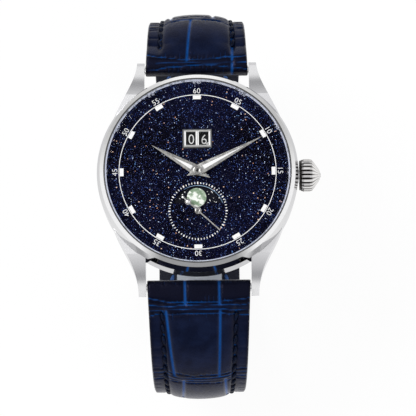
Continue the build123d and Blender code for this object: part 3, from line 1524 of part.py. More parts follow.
# Leaves: a middle knuckle at the hinge, and two ears that hold the strap's bar
ear_width = strap_width_clasp / 2 + clasp_gap + clasp_ear
leaf_end_swing = degrees((clasp_block_length / 2 + 2 * clasp_gap) / hinge_radius)
ear_swing = degrees(clasp_eye_radius / loop_bottom_radius)
for leaf_name, side in (("clasp_leaf_12", 1), ("clasp_leaf_6", -1)):
    with BuildPart() as clasp_leaf:
        extrude(loop_band(leaf_inner_radius, leaf_outer_radius, side * leaf_end_swing, side * hinge_swing),
                amount=clasp_width / 2, both=True)
        hinge_place = loop_point(hinge_radius, side * hinge_swing)
        with BuildSketch(Plane.YZ.offset(clasp_knuckle_length / 2)):
            with Locations(hinge_place):
                Circle(clasp_knuckle_radius + clasp_gap)
        extrude(amount=clasp_width, mode=Mode.SUBTRACT)
        with BuildSketch(Plane.YZ.offset(-clasp_knuckle_length / 2)):
            with Locations(hinge_place):
                Circle(clasp_knuckle_radius + clasp_gap)
        extrude(amount=-clasp_width, mode=Mode.SUBTRACT)
        with BuildSketch(Plane.YZ):
            with Locations(hinge_place):
                Circle(clasp_knuckle_radius)
        extrude(amount=clasp_knuckle_length / 2, both=True)
        with BuildSketch(Plane.YZ):
            with Locations(hinge_place):
                Circle(clasp_pin_radius + fit_gap)
        extrude(amount=clasp_width, both=True, mode=Mode.SUBTRACT)
        ear_first, ear_last = side * (bar_swing - ear_swing), side * (bar_swing + ear_swing)
        extrude(loop_band(leaf_inner_radius, leaf_outer_radius, ear_first, ear_last),
                amount=ear_width, both=True)
        ear = loop_band(leaf_inner_radius, loop_bottom_radius + clasp_bar_radius, ear_first, ear_last)
        extrude(ear, amount=ear_width, both=True)
        room_first, room_last = side * (bar_swing - 2 * ear_swing), side * (bar_swing + 2 * ear_swing)
        ear_room = loop_band(leaf_outer_radius, loop_bottom_radius + overrun, room_first, room_last)
        extrude(ear_room, amount=ear_width - clasp_ear, both=True, mode=Mode.SUBTRACT)
        with BuildSketch(Plane.YZ):
            with Locations(loop_point(loop_bottom_radius, side * bar_swing)):
                Circle(clasp_bar_radius + fit_gap)
        extrude(amount=ear_width + overrun, both=True, mode=Mode.SUBTRACT)
    clasp_leaf.part.label = leaf_name
    export_step(clasp_leaf.part, f"parts/{leaf_name}.step")

# Hinge pins of the leaves
with BuildPart() as clasp_hinge_pins:
    with BuildSketch(Plane.YZ):
        with Locations(loop_point(hinge_radius, -hinge_swing), loop_point(hinge_radius, hinge_swing)):
            Circle(clasp_pin_radius)
    extrude(amount=clasp_width / 2, both=True)
clasp_hinge_pins.part.label = "clasp_hinge_pins"
export_step(clasp_hinge_pins.part, "parts/clasp_hinge_pins.step")

# Bars through the strap ends
with BuildPart() as clasp_strap_bars:
    with BuildSketch(Plane.YZ):
        with Locations(
            loop_point(loop_bottom_radius, -bar_swing), loop_point(loop_bottom_radius, bar_swing)
        ):
            Circle(clasp_bar_radius)
    extrude(amount=ear_width, both=True)
clasp_strap_bars.part.label = "clasp_strap_bars"
export_step(clasp_strap_bars.part, "parts/clasp_strap_bars.step")

# Latch block between the strap ends, with a bore for each push button
block_foot_z = loop_bottom_z - strap_thickness_clasp / 2 - 2 * clasp_gap
block_top_z = loop_centre_z - base_outer_radius
button_z = (block_foot_z + block_top_z) / 2
button_inner_x = clasp_block_width / 2 + button_stand - button_length
with BuildPart() as clasp_latch_block:
    with BuildSketch(place(0, loop_centre_y, block_foot_z)):
        RectangleRounded(clasp_block_width, clasp_block_length, block_corner)
    extrude(amount=block_top_z - block_foot_z)
    fillet(clasp_latch_block.faces().sort_by(Axis.Z)[0].edges(), block_corner / 2)
    with BuildSketch(Plane.YZ.offset(button_inner_x - button_travel - seat_gap)):
        with Locations((loop_centre_y, button_z)):
            Circle(button_radius + seat_gap)
    extrude(amount=clasp_block_width, mode=Mode.SUBTRACT)
    with BuildSketch(Plane.YZ.offset(button_travel + seat_gap - button_inner_x)):
        with Locations((loop_centre_y, button_z)):
            Circle(button_radius + seat_gap)
    extrude(amount=-clasp_block_width, mode=Mode.SUBTRACT)
clasp_latch_block.part.label = "clasp_latch_block"
export_step(clasp_latch_block.part, "parts/clasp_latch_block.step")

# Push buttons of the clasp
for button_name, side in (("clasp_button_right", 1), ("clasp_button_left", -1)):
    with BuildPart() as clasp_button:
        with BuildSketch(Plane.YZ.offset(side * button_inner_x)):
            with Locations((loop_centre_y, button_z)):
                Circle(button_radius)
        extrude(amount=side * button_length)
        outer_edges = clasp_button.faces().sort_by(Axis.X)[-1 if side == 1 else 0].edges()
        chamfer(outer_edges, button_chamfer)
    clasp_button.part.label = button_name
    export_step(clasp_button.part, f"parts/{button_name}.step")
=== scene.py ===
"""Looks of the moon phase watch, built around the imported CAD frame. Lengths are in metres."""

import math
import random

import bmesh
import bpy
import numpy as np
from mathutils import Matrix, Vector


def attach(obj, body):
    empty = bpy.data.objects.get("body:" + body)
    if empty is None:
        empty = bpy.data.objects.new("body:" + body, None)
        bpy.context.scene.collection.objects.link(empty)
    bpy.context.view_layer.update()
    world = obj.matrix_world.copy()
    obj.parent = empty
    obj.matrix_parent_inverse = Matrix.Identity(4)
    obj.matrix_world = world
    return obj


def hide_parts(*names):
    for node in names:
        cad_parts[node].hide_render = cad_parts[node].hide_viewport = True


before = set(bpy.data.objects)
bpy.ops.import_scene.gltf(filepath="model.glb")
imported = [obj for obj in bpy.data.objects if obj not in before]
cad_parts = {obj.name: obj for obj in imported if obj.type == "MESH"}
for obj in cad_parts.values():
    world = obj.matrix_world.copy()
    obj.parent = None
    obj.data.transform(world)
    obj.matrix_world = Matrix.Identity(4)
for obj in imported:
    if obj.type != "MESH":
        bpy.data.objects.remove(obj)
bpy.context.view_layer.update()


# ---------------------------------------------------------------- main plate
# The main plate carries the whole movement. It is turned from brass and nickel plated, and its
# face is ground with rows of small circles before the bearings are pressed in.
mm = 0.001


def add_node(tree, kind, **values):
    """A node with its plain inputs set; names that aren't inputs are the node's own settings."""
    node = tree.nodes.new(kind)
    for key, value in values.items():
        if key in node.inputs:
            node.inputs[key].default_value = value
        else:
            setattr(node, key, value)
    return node


def start_material(name, metallic=0.0, roughness=0.5, specular=0.5):
    """A node material; returns it with its tree and its shader."""
    material = bpy.data.materials.new(name)
    material.use_nodes = True
    shader = material.node_tree.nodes["Principled BSDF"]
    shader.inputs["Metallic"].default_value = metallic
    shader.inputs["Roughness"].default_value = roughness
    shader.inputs["Specular IOR Level"].default_value = specular
    return material, material.node_tree, shader


def place_in_mm(tree, stretch=(1, 1, 1), shift=(0, 0, 0)):
    """Object coordinates in millimetres, stretched after a shift of their centre."""
    coordinates = add_node(tree, "ShaderNodeTexCoord")
    mapping = add_node(tree, "ShaderNodeMapping")
    mapping.inputs["Scale"].default_value = [number / mm for number in stretch]
    mapping.inputs["Location"].default_value = [-part * number for part, number in zip(shift, stretch)]
    tree.links.new(coordinates.outputs["Object"], mapping.inputs["Vector"])
    return mapping.outputs["Vector"]


def ramp(tree, factor, *stops):
    """A colour ramp over a factor; each stop is (place, colour)."""
    node = add_node(tree, "ShaderNodeValToRGB")
    while len(node.color_ramp.elements) < len(stops):
        node.color_ramp.elements.new(1.0)
    for element, (place, colour) in zip(node.color_ramp.elements, stops):
        element.position = place
        element.color = (*colour, 1.0)
    tree.links.new(factor, node.inputs["Fac"])
    return node.outputs["Color"]


def join(tree, output, shader, socket):
    """Links an output to a named input of a node."""
    tree.links.new(output, shader.inputs[socket])


def relief(tree, height, shader, strength, depth):
    """Gives a shader a bump of some depth from a height output."""
    node = add_node(tree, "ShaderNodeBump", Strength=strength, Distance=depth)
    join(tree, height, node, "Height")
    join(tree, node.outputs["Normal"], shader, "Normal")


def finish(material, *nodes):
    """Gives named CAD nodes their finish."""
    for node in nodes:
        for material_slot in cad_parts[node].material_slots:
            material_slot.material = material


grained_plate, tree, shader = start_material("grained_plate", metallic=1.0, roughness=0.3)
circles = add_node(tree, "ShaderNodeTexVoronoi", Scale=0.8, Randomness=0.0)
join(tree, place_in_mm(tree), circles, "Vector")
ground = ramp(tree, circles.outputs["Distance"], (0.0, (0.72, 0.71, 0.69)), (0.7, (0.45, 0.44, 0.43)))
join(tree, ground, shader, "Base Color")
relief(tree, circles.outputs["Distance"], shader, 0.3, 0.05 * mm)
finish(grained_plate, "main_plate")


# ---------------------------------------------------------------- bridges, cock and rotor
# The bridges and the cock hold the wheels' upper pivots, and the rotor winds the spring. They are
# nickel plated and brushed with broad stripes, a little darker along one edge of each stripe.
striped_plate, tree, shader = start_material("striped_plate", metallic=1.0, roughness=0.28)
stripes = add_node(tree, "ShaderNodeTexWave", Scale=0.16, wave_profile="SAW")
join(tree, place_in_mm(tree, (1, 1, 0)), stripes, "Vector")
brushed = ramp(tree, stripes.outputs["Fac"], (0.0, (0.42, 0.41, 0.40)), (1.0, (0.74, 0.73, 0.71)))
join(tree, brushed, shader, "Base Color")
relief(tree, stripes.outputs["Fac"], shader, 0.25, 0.02 * mm)
finish(striped_plate, "rotor", "train_bridge", "barrel_bridge", "balance_cock")


# ---------------------------------------------------------------- bearing jewels
# Synthetic ruby bearings, drilled and pressed into the bridges and the cock. The balance's jewel
# and those of the train are seen through the window in the back.
def map_range(tree, value, low, high, start=0.0, end=1.0, curve="LINEAR"):
    """A value carried from the range between low and high to that between start and end."""
    node = add_node(tree, "ShaderNodeMapRange", interpolation_type=curve)
    for socket, number in zip(("From Min", "From Max", "To Min", "To Max"), (low, high, start, end)):
        node.inputs[socket].default_value = number
    join(tree, value, node, "Value")
    return node.outputs["Result"]


def mixed(tree, factor, first, second, blend="MIX"):
    """A colour mixed from two, each given as an output or as (red, green, blue)."""
    node = add_node(tree, "ShaderNodeMix", data_type="RGBA", blend_type=blend)
    if isinstance(factor, float):
        node.inputs["Factor"].default_value = factor
    else:
        join(tree, factor, node, "Factor")
    for socket, colour in (("A", first), ("B", second)):
        if isinstance(colour, tuple):
            node.inputs[socket].default_value = (*colour, 1)
        else:
            join(tree, colour, node, socket)
    return node.outputs["Result"]


def node_group(name, inputs, outputs):
    """A node group with sockets of the given names and kinds, and its input and output nodes."""
    group = bpy.data.node_groups.new(name, "ShaderNodeTree")
    for way, sockets in (("INPUT", inputs), ("OUTPUT", outputs)):
        for socket, kind in sockets.items():
            group.interface.new_socket(socket, in_out=way, socket_type=f"NodeSocket{kind}")
    return group, group.nodes.new("NodeGroupInput"), group.nodes.new("NodeGroupOutput")


fine_grain, given, result = node_group(
    "fine_grain",
    {
        "Vector": "Vector", "Fineness": "Float", "Smoothest": "Float", "Roughest": "Float",
        "Dark": "Color", "Light": "Color",
    },
    {"Colour": "Color", "Roughness": "Float", "Height": "Float"},
)
noise = add_node(fine_grain, "ShaderNodeTexNoise", Detail=3.0)
join(fine_grain, given.outputs["Vector"], noise, "Vector")
join(fine_grain, given.outputs["Fineness"], noise, "Scale")
spread = map_range(fine_grain, noise.outputs["Fac"], 0.3, 0.7)
tint = mixed(fine_grain, spread, given.outputs["Dark"], given.outputs["Light"])
wear = add_node(fine_grain, "ShaderNodeMapRange")
join(fine_grain, spread, wear, "Value")
join(fine_grain, given.outputs["Smoothest"], wear, "To Min")
join(fine_grain, given.outputs["Roughest"], wear, "To Max")
join(fine_grain, tint, result, "Colour")
join(fine_grain, wear.outputs["Result"], result, "Roughness")
join(fine_grain, spread, result, "Height")


def grained(
    name, dark, light, rough, fineness, depth=0.002 * mm, stretch=(1, 1, 1), metallic=0.0, specular=0.5
):
    """A material whose colour, roughness and surface follow a fine grain; rough is (least, most)."""
    material, tree, shader = start_material(name, metallic, rough[0], specular)
    grain = add_node(tree, "ShaderNodeGroup", node_tree=fine_grain, Fineness=fineness)
    grain.inputs["Smoothest"].default_value, grain.inputs["Roughest"].default_value = rough
    grain.inputs["Dark"].default_value = (*dark, 1)
    grain.inputs["Light"].default_value = (*light, 1)
    join(tree, place_in_mm(tree, stretch), grain, "Vector")
    join(tree, grain.outputs["Colour"], shader, "Base Color")
    join(tree, grain.outputs["Roughness"], shader, "Roughness")
    relief(tree, grain.outputs["Height"], shader, 0.5, depth)
    return material


def piece_from(shape, name, material, body, smooth=None):
    """Ends a bmesh as a piece at the origin, riding on a body; smooth is the sharpest smooth angle."""
    bmesh.ops.recalc_face_normals(shape, faces=shape.faces)
    mesh = bpy.data.meshes.new(name)
    shape.to_mesh(mesh)
    shape.free()
    mesh.materials.append(material)
    piece = bpy.data.objects.new(name, mesh)
    bpy.context.collection.objects.link(piece)
    if smooth:
        mesh.shade_smooth()
        mesh.set_sharp_from_angle(angle=math.radians(smooth))
    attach(piece, body)
    return piece


def turned(shape, outline, centre, first=0, last=360, steps=48):
    """Spins an outline of (radius, height) about a vertical axis, between two angles from +X."""
    closed = last - first >= 360
    start = Matrix.Rotation(math.radians(first), 4, "Z")
    corners = [
        shape.verts.new(Vector(centre) + start @ Vector((radius, 0, height))) for radius, height in outline
    ]
    loop = [shape.edges.new(pair) for pair in zip(corners, corners[1:] + corners[:1])]
    bmesh.ops.spin(
        shape, geom=corners + loop, cent=centre, axis=(0, 0, 1), angle=math.radians(last - first),
        steps=steps, use_merge=closed,
    )
    if not closed:
        bmesh.ops.holes_fill(shape, edges=[edge for edge in shape.edges if edge.is_boundary], sides=0)


def flat_ring(inner, outer, height):
    """The outline of a thin ring."""
    return (inner, 0), (outer, 0), (outer, height), (inner, height)


ruby = grained("ruby", (0.25, 0.005, 0.02), (0.45, 0.01, 0.04), (0.05, 0.12), 2.0)
jewel_hole, jewel_radius, jewel_rise, bridge_face = 0.22 * mm, 0.62 * mm, 0.05 * mm, 2.9 * mm
jewels = bmesh.new()
for x, y in ((1.3519, -4.4805), (0, -8.33), (-3.2499, -8.9030), (-5.360, -7.140), (-8.4, -4.6)):
    turned(jewels, flat_ring(jewel_hole, jewel_radius, jewel_rise), (x * mm, y * mm, bridge_face), steps=32)
piece_from(jewels, "bearing_jewels", ruby, "watch")


# ---------------------------------------------------------------- wheels, balance and winding work
# The wheels are cut from brass and gilt, their pinions and the winding work are hardened steel,
# and the screws and the hairspring are heated until they turn blue.
gilt_brass = grained("gilt_brass", (0.76, 0.56, 0.24), (0.88, 0.68, 0.31), (0.16, 0.26), 9.0, metallic=1.0)
turned_steel = grained(
    "turned_steel", (0.62, 0.62, 0.63), (0.74, 0.74, 0.75), (0.10, 0.22), 6.0, metallic=1.0
)
blued_steel = grained("blued_steel", (0.02, 0.05, 0.26), (0.04, 0.10, 0.40), (0.12, 0.20), 5.0, metallic=1.0)
finish(
    gilt_brass, "centre_wheel", "minute_wheel", "hour_wheel", "third_wheel", "fourth_wheel", "balance_wheel",
    "mainspring_barrel",
)
finish(
    turned_steel, "cannon_pinion", "escape_wheel", "pallet_fork", "crown_wheel", "ratchet_wheel",
    "rotor_bearing", "winding_stem", "setting_lever", "winding_pinion",
)
finish(blued_steel, "bridge_screws", "hairspring")


# ---------------------------------------------------------------- movement holder
# A moulded ring of dark plastic that centres the movement in the case.
holder_plastic = grained("holder_plastic", (0.03, 0.03, 0.03), (0.05, 0.05, 0.05), (0.42, 0.55), 3.0)
finish(holder_plastic, "movement_holder")


# ---------------------------------------------------------------- moon disc
# A black disc turned by a tooth a day under the dial, with two printed moons and scattered stars.
# One moon at a time shows in the round-shouldered opening.
sub_dial_y = -8.33 * mm
moon_top = 9.05 * mm
moon_radius = 2.02 * mm
moon_distance = 2.96 * mm
moon_turn, moon_flatness = 5, 0.02
print_height = 0.02 * mm
night_paint = grained(
    "night_paint", (0.0012, 0.0016, 0.005), (0.003, 0.004, 0.011), (0.3, 0.4), 3.0, specular=0.1
)
moon_paint, tree, shader = start_material("moon_paint", roughness=0.5, specular=0.2)
patches = add_node(tree, "ShaderNodeTexNoise", Scale=0.62, Detail=3.0, Distortion=0.5)
join(tree, place_in_mm(tree, shift=(0.6, 0.3, 0)), patches, "Vector")
seas = ramp(
    tree, patches.outputs["Fac"], (0.42, (0.20, 0.29, 0.19)), (0.49, (0.36, 0.45, 0.34)),
    (0.53, (0.80, 0.84, 0.77)), (0.62, (0.90, 0.92, 0.88)),
)
join(tree, seas, shader, "Base Color")
relief(tree, patches.outputs["Fac"], shader, 0.1, 0.01 * mm)
finish(night_paint, "moon_disc")
moon_faces = bmesh.new()
for turn in (moon_turn, moon_turn + 180):
    place = (
        Matrix.Translation((0, sub_dial_y, moon_top)) @ Matrix.Rotation(math.radians(turn), 4, "Z")
        @ Matrix.Translation((0, moon_distance, 0)) @ Matrix.Diagonal((1, 1, moon_flatness, 1))
    )
    bmesh.ops.create_uvsphere(moon_faces, u_segments=48, v_segments=24, radius=moon_radius, matrix=place)
piece_from(moon_faces, "moon_faces", moon_paint, "moon", smooth=60)

white_paint = grained(
    "white_paint", (0.80, 0.80, 0.80), (0.90, 0.90, 0.89), (0.45, 0.6), 9.0, depth=0.001 * mm, specular=0.3
)
# Stars are scattered clear of both moons, and more thinly over one quarter of the disc
random.seed(12)
moon_stars = bmesh.new()
star_total, star_clearance = 96, 0.25 * mm
star_count = 0
while star_count < star_total:
    angle = random.uniform(0, 2 * math.pi)
    reach = random.uniform(2.0, 5.3) * mm
    x, y = reach * math.cos(angle), reach * math.sin(angle)
    if min(math.hypot(x, y - moon_distance), math.hypot(x, y + moon_distance)) < moon_radius + star_clearance:
        continue
    if x < 0 < y and star_count % 3:
        star_count += 1
        continue
    size = random.choice((0.07, 0.09, 0.11, 0.14)) * mm
    place = Matrix.Translation((x, sub_dial_y + y, moon_top + print_height / 2))
    bmesh.ops.create_cone(
        moon_stars, cap_ends=True, segments=8, radius1=size, radius2=size, depth=print_height, matrix=place
    )
    star_count += 1
piece_from(moon_stars, "moon_stars", white_paint, "moon")


# ---------------------------------------------------------------- date discs
# Two black discs under the dial, a higher one with the tens and a lower one with the units. Their
# figures are printed in white, and the shown ones stand upright in the two windows.
date_disc_x, date_disc_y = 4.4 * mm, 8.2 * mm
date_window_x, date_y = 1.33 * mm, 7.0 * mm
figure_height, figure_width_share, figure_shift = 2.0 * mm, 0.92, 0.09 * mm
thinning = -0.008
black_paint = grained(
    "black_paint", (0.004, 0.004, 0.006), (0.010, 0.010, 0.012), (0.35, 0.45), 6.0, specular=0.2
)
finish(black_paint, "date_units_disc", "date_tens_disc")


def add_figures(shape, text, height, width_share, place):
    """Adds figures printed in a slightly thinned plain face to a bmesh, centred on the place."""
    curve = bpy.data.curves.new("figures", "FONT")
    curve.body = text
    curve.extrude = 0.5
    curve.offset = thinning
    holder = bpy.data.objects.new("figures", curve)
    bpy.context.collection.objects.link(holder)
    bpy.context.view_layer.update()
    mesh = bpy.data.meshes.new_from_object(holder)
    bpy.data.objects.remove(holder)
    corners = np.array([vertex.co for vertex in mesh.vertices])
    low, high = corners.min(axis=0), corners.max(axis=0)
    scale = height / (high[1] - low[1])
    to_centre = Matrix.Translation(-Vector((low + high) / 2))
    mesh.transform(place @ Matrix.Diagonal((scale * width_share, scale, print_height, 1)) @ to_centre)
    shape.from_mesh(mesh)


for disc, side, figures, top, shown in (
    ("date_units", 1, "0987654321", 8.83 * mm, "6"),
    ("date_tens", -1, "0321", 9.08 * mm, "0"),
):
    centre = Vector((side * date_disc_x, date_disc_y, top + print_height / 2))
    window = Vector((side * date_window_x + figure_shift, date_y, centre.z))
    figure_print = bmesh.new()
    for number, figure in enumerate(figures):
        turn = 2 * math.pi * (number - figures.index(shown)) / len(figures)
        turned_disc = Matrix.Translation(centre) @ Matrix.Rotation(turn, 4, "Z")
        place = turned_disc @ Matrix.Translation(window - centre)
        add_figures(figure_print, figure, figure_height, figure_width_share, place)
    piece_from(figure_print, f"{disc}_figures", white_paint, disc)


# ---------------------------------------------------------------- dial
# The dial is a thin disc of dark blue glass with copper crystals in it, which sparkle as specks.
# The numerals, the ring and the ticks are printed on it in white, and the hour blocks are applied.
dial_top = 9.6 * mm


def calculate(tree, operation, *values):
    """The result of a math node; each value is an output or a number."""
    node = add_node(tree, "ShaderNodeMath", operation=operation)
    for socket, value in zip(node.inputs, values):
        if isinstance(value, (int, float)):
            socket.default_value = value
        else:
            tree.links.new(value, socket)
    return node.outputs["Value"]


specks, given, result = node_group(
    "specks", {"Vector": "Vector", "Cells": "Float", "Size": "Float", "Share": "Float"},
    {"Speck": "Float", "Tint": "Color"},
)
cells = add_node(specks, "ShaderNodeTexVoronoi")
join(specks, given.outputs["Vector"], cells, "Vector")
join(specks, given.outputs["Cells"], cells, "Scale")
near = calculate(specks, "LESS_THAN", cells.outputs["Distance"], given.outputs["Size"])
chance = add_node(specks, "ShaderNodeSeparateColor")
join(specks, cells.outputs["Color"], chance, "Color")
chosen = calculate(specks, "LESS_THAN", chance.outputs["Red"], given.outputs["Share"])
join(specks, calculate(specks, "MULTIPLY", near, chosen), result, "Speck")
join(specks, cells.outputs["Color"], result, "Tint")

star_glass, tree, shader = start_material("star_glass", roughness=0.3, specular=0.02)
place = place_in_mm(tree)
cloud = add_node(tree, "ShaderNodeTexNoise", Scale=0.09, Detail=2.0)
join(tree, place, cloud, "Vector")
colour = ramp(
    tree, cloud.outputs["Fac"], (0.35, (0.0007, 0.0006, 0.0026)), (0.68, (0.0018, 0.0024, 0.0125))
)
# Layers of crystals, from the fine haze to the few large sparks: their cells per millimetre, their
# size and share of the cells, and their darkest and brightest colour
for cells_per_mm, size, share, dark, bright in (
    (5.6, 0.38, 0.50, (0.004, 0.004, 0.014), (0.034, 0.036, 0.098)),
    (4.2, 0.32, 0.17, (0.014, 0.045, 0.250), (0.110, 0.180, 0.480)),
    (2.3, 0.20, 0.20, (0.14, 0.34, 0.75), (0.76, 0.84, 1.0)),
    (1.3, 0.15, 0.20, (0.50, 0.20, 0.11), (0.95, 0.66, 0.50)),
):
    layer = add_node(tree, "ShaderNodeGroup", node_tree=specks, Cells=cells_per_mm, Size=size, Share=share)
    join(tree, place, layer, "Vector")
    pick = add_node(tree, "ShaderNodeSeparateColor")
    join(tree, layer.outputs["Tint"], pick, "Color")
    crystal = ramp(tree, pick.outputs["Green"], (0.0, dark), (1.0, bright))
    colour = mixed(tree, layer.outputs["Speck"], colour, crystal)
join(tree, colour, shader, "Base Color")
finish(star_glass, "dial")

# Minute ring, with the numerals outside it
ring_radius, ring_width = 16.35 * mm, 0.14 * mm
numeral_radius, numeral_height, numeral_width_share = 17.22 * mm, 1.07 * mm, 1.02
ring_print = bmesh.new()
turned(
    ring_print, flat_ring(ring_radius - ring_width / 2, ring_radius + ring_width / 2, print_height),
    (0, 0, dial_top), steps=180,
)
for number in range(1, 13):
    turn = Matrix.Rotation(-math.radians(30 * number), 4, "Z")
    place = turn @ Matrix.Translation((0, numeral_radius, dial_top + print_height / 2))
    add_figures(ring_print, f"{5 * number:02d}", numeral_height, numeral_width_share, place)
piece_from(ring_print, "minute_ring_print", white_paint, "watch")

# Sixty ticks round the small seconds, every fifth one bolder: width and both radii, in millimetres
bold_tick, fine_tick = (0.24, 5.72, 6.18), (0.15, 5.74, 6.1)
tick_print = bmesh.new()
for number in range(60):
    width, inner, outer = fine_tick if number % 5 else bold_tick
    place = (
        Matrix.Translation((0, sub_dial_y, dial_top + print_height / 2))
        @ Matrix.Rotation(math.radians(6 * number), 4, "Z")
        @ Matrix.Translation((0, (inner + outer) / 2 * mm, 0))
        @ Matrix.Diagonal((width * mm, (outer - inner) * mm, print_height, 1))
    )
    bmesh.ops.create_cube(tick_print, size=1, matrix=place)
piece_from(tick_print, "seconds_ticks_print", white_paint, "watch")

# Bevelled edge of the moon's opening: a thin light blue line
edge_radius, edge_width, edge_first, edge_last = 5.39 * mm, 0.12 * mm, 18.4, 122
edge_metal = grained("edge_metal", (0.05, 0.11, 0.22), (0.34, 0.48, 0.62), (0.25, 0.35), 0.35, metallic=0.6)
edge_line = bmesh.new()
turned(
    edge_line, flat_ring(edge_radius - edge_width / 2, edge_radius + edge_width / 2, print_height),
    (0, sub_dial_y, dial_top), edge_first, edge_last, steps=56,
)
piece_from(edge_line, "aperture_edge_line", edge_metal, "watch")

# Applied hour blocks, filled with white
finish(white_paint, "hour_blocks")


# ---------------------------------------------------------------- date frame
# A bevelled steel frame, riveted to the dial round both date windows. It has a fine satin finish,
# and its upright bars are polished; white strips on their tops are painted highlights.
frame_steel = grained("frame_steel", (0.34, 0.34, 0.33), (0.50, 0.50, 0.49), (0.30, 0.42), 7.0, metallic=1.0)
finish(frame_steel, "date_frame")
bar_height, bar_top, bar_thickness = 2.95 * mm, dial_top + 0.35 * mm, 0.05 * mm
# White strips on the bar tops: painted highlights of the polished bevels
painted_bar_highlights = bmesh.new()
for x, width in ((-2.52, 0.26), (-0.19, 0.24), (0.19, 0.24), (2.52, 0.26)):
    place = Matrix.Translation((x * mm, date_y, bar_top + bar_thickness / 2)) @ Matrix.Diagonal(
        (width * mm, bar_height, bar_thickness, 1)
    )
    bmesh.ops.create_cube(painted_bar_highlights, size=1, matrix=place)
piece_from(painted_bar_highlights, "date_frame_bar_highlights", white_paint, "watch")


# ---------------------------------------------------------------- hands
# Three steel hands, pressed on their pipes. The hour and minute hands are ground to a ridge with
# satin flanks and carry a white inlay; turned caps cover the hubs.
hand_steel = grained("hand_steel", (0.31, 0.305, 0.295), (0.47, 0.465, 0.45), (0.20, 0.32), 1.3, metallic=1.0)
finish(hand_steel, "hour_hand", "minute_hand", "seconds_hand")
finish(white_paint, "hour_hand_inlay", "minute_hand_inlay")
for name, body, y, top, radius, hole in (
    ("minute_hand_cap", "minute", 0.0, 11.21 * mm, 0.92 * mm, 0.34 * mm),
    ("seconds_hand_cap", "seconds", sub_dial_y, 10.15 * mm, 0.62 * mm, 0.2 * mm),
):
    outline = (
        (hole, 0.0), (hole, 0.05 * mm), (hole + 0.08 * mm, 0.09 * mm), (0.62 * radius, 0.10 * mm),
        (0.68 * radius, 0.05 * mm), (0.74 * radius, 0.05 * mm), (0.80 * radius, 0.09 * mm),
        (0.95 * radius, 0.06 * mm), (radius, 0.0),
    )
    cap = bmesh.new()
    turned(cap, outline, (0, y, top))
    piece_from(cap, name, hand_steel, body, smooth=40)

# Dark domes of painted shade over the holes in the caps, where the pipe and the arbor end, and the
# polished beads of the counterweight
hub_hole_shade = grained("hub_hole_shade", (0.02, 0.02, 0.02), (0.05, 0.05, 0.05), (0.3, 0.4), 6.0, metallic=1.0)
for name, body, y, top, radius in (
    ("minute_hand_hole_shade", "minute", 0.0, 11.24 * mm, 0.36 * mm),
    ("seconds_hand_hole_shade", "seconds", sub_dial_y, 10.18 * mm, 0.22 * mm),
):
    pin = bmesh.new()
    place = Matrix.Translation((0, y, top)) @ Matrix.Diagonal((1, 1, 0.2, 1))
    bmesh.ops.create_uvsphere(pin, u_segments=24, v_segments=12, radius=radius, matrix=place)
    piece_from(pin, name, hub_hole_shade, body, smooth=60)
bead_steel = grained("bead_steel", (0.86, 0.86, 0.86), (0.94, 0.94, 0.94), (0.08, 0.14), 6.0, metallic=1.0)
tail_height, tail_angle = 10.16 * mm, math.radians(137.5)
tail_line = Matrix.Translation((0, sub_dial_y, tail_height)) @ Matrix.Rotation(tail_angle, 4, "Z")
beads = bmesh.new()
for reach, radius, rise in ((2.8, 0.5, 0.5), (4.2, 0.3, 0.6)):
    place = tail_line @ Matrix.Translation((reach * mm, 0, 0)) @ Matrix.Diagonal((1, 1, rise, 1))
    bmesh.ops.create_uvsphere(beads, u_segments=24, v_segments=12, radius=radius * mm, matrix=place)
neck_reach, neck_drop, neck_length, neck_radius, neck_end_radius = (
    number * mm for number in (3.55, 0.02, 1.5, 0.13, 0.1)
)
neck = tail_line @ Matrix.Translation((neck_reach, 0, -neck_drop)) @ Matrix.Rotation(math.pi / 2, 4, "Y")
bmesh.ops.create_cone(
    beads, cap_ends=True, segments=16, radius1=neck_radius, radius2=neck_end_radius, depth=neck_length,
    matrix=neck,
)
piece_from(beads, "seconds_hand_beads", bead_steel, "seconds", smooth=60)


# ---------------------------------------------------------------- case middle
# The case middle is turned and milled from one bar of steel with its four lugs. What faces up is
# brushed to a satin finish along the strap, and the flanks are polished.
case_steel, tree, shader = start_material("case_steel", metallic=1.0)
shader.inputs["Base Color"].default_value = (0.80, 0.80, 0.81, 1)
shader.inputs["Specular Tint"].default_value = (0.68, 0.68, 0.69, 1)
facing = add_node(tree, "ShaderNodeNewGeometry")
upwards = add_node(tree, "ShaderNodeSeparateXYZ")
join(tree, facing.outputs["True Normal"], upwards, "Vector")
brushed_share = map_range(tree, upwards.outputs["Z"], 0.12, 0.25)
brushing = add_node(tree, "ShaderNodeTexNoise", Scale=1.0, Detail=4.0)
join(tree, place_in_mm(tree, (22, 0.6, 0.6)), brushing, "Vector")
join(tree, map_range(tree, brushed_share, 0.0, 1.0, 0.06, 0.26), shader, "Roughness")
strokes = calculate(tree, "MULTIPLY", brushing.outputs["Fac"], brushed_share)
relief(tree, strokes, shader, 0.35, 0.01 * mm)
finish(case_steel, "case_middle")


# ---------------------------------------------------------------- bezel, sloped ring and case back
# Steel rings turned and polished: the bezel is pressed on the case's neck, the sloped ring lies
# between dial and crystal, and the case back is screwed in from below.
bright_steel = grained(
    "bright_steel", (0.88, 0.88, 0.88), (0.94, 0.94, 0.94), (0.04, 0.09), 3.0, depth=0.0005 * mm, metallic=1.0
)
bright_steel.node_tree.nodes["Principled BSDF"].inputs["Specular Tint"].default_value = (0.64, 0.64, 0.65, 1)
# The sloped ring's polished steel is tinted blue: a painted reflection of the blue dial
sloped_steel_painted_blue = grained(
    "sloped_steel_painted_blue", (0.66, 0.70, 0.84), (0.74, 0.78, 0.92), (0.13, 0.19), 4.0, depth=0.0005 * mm, metallic=1.0
)
finish(bright_steel, "bezel", "case_back")
finish(sloped_steel_painted_blue, "rehaut")


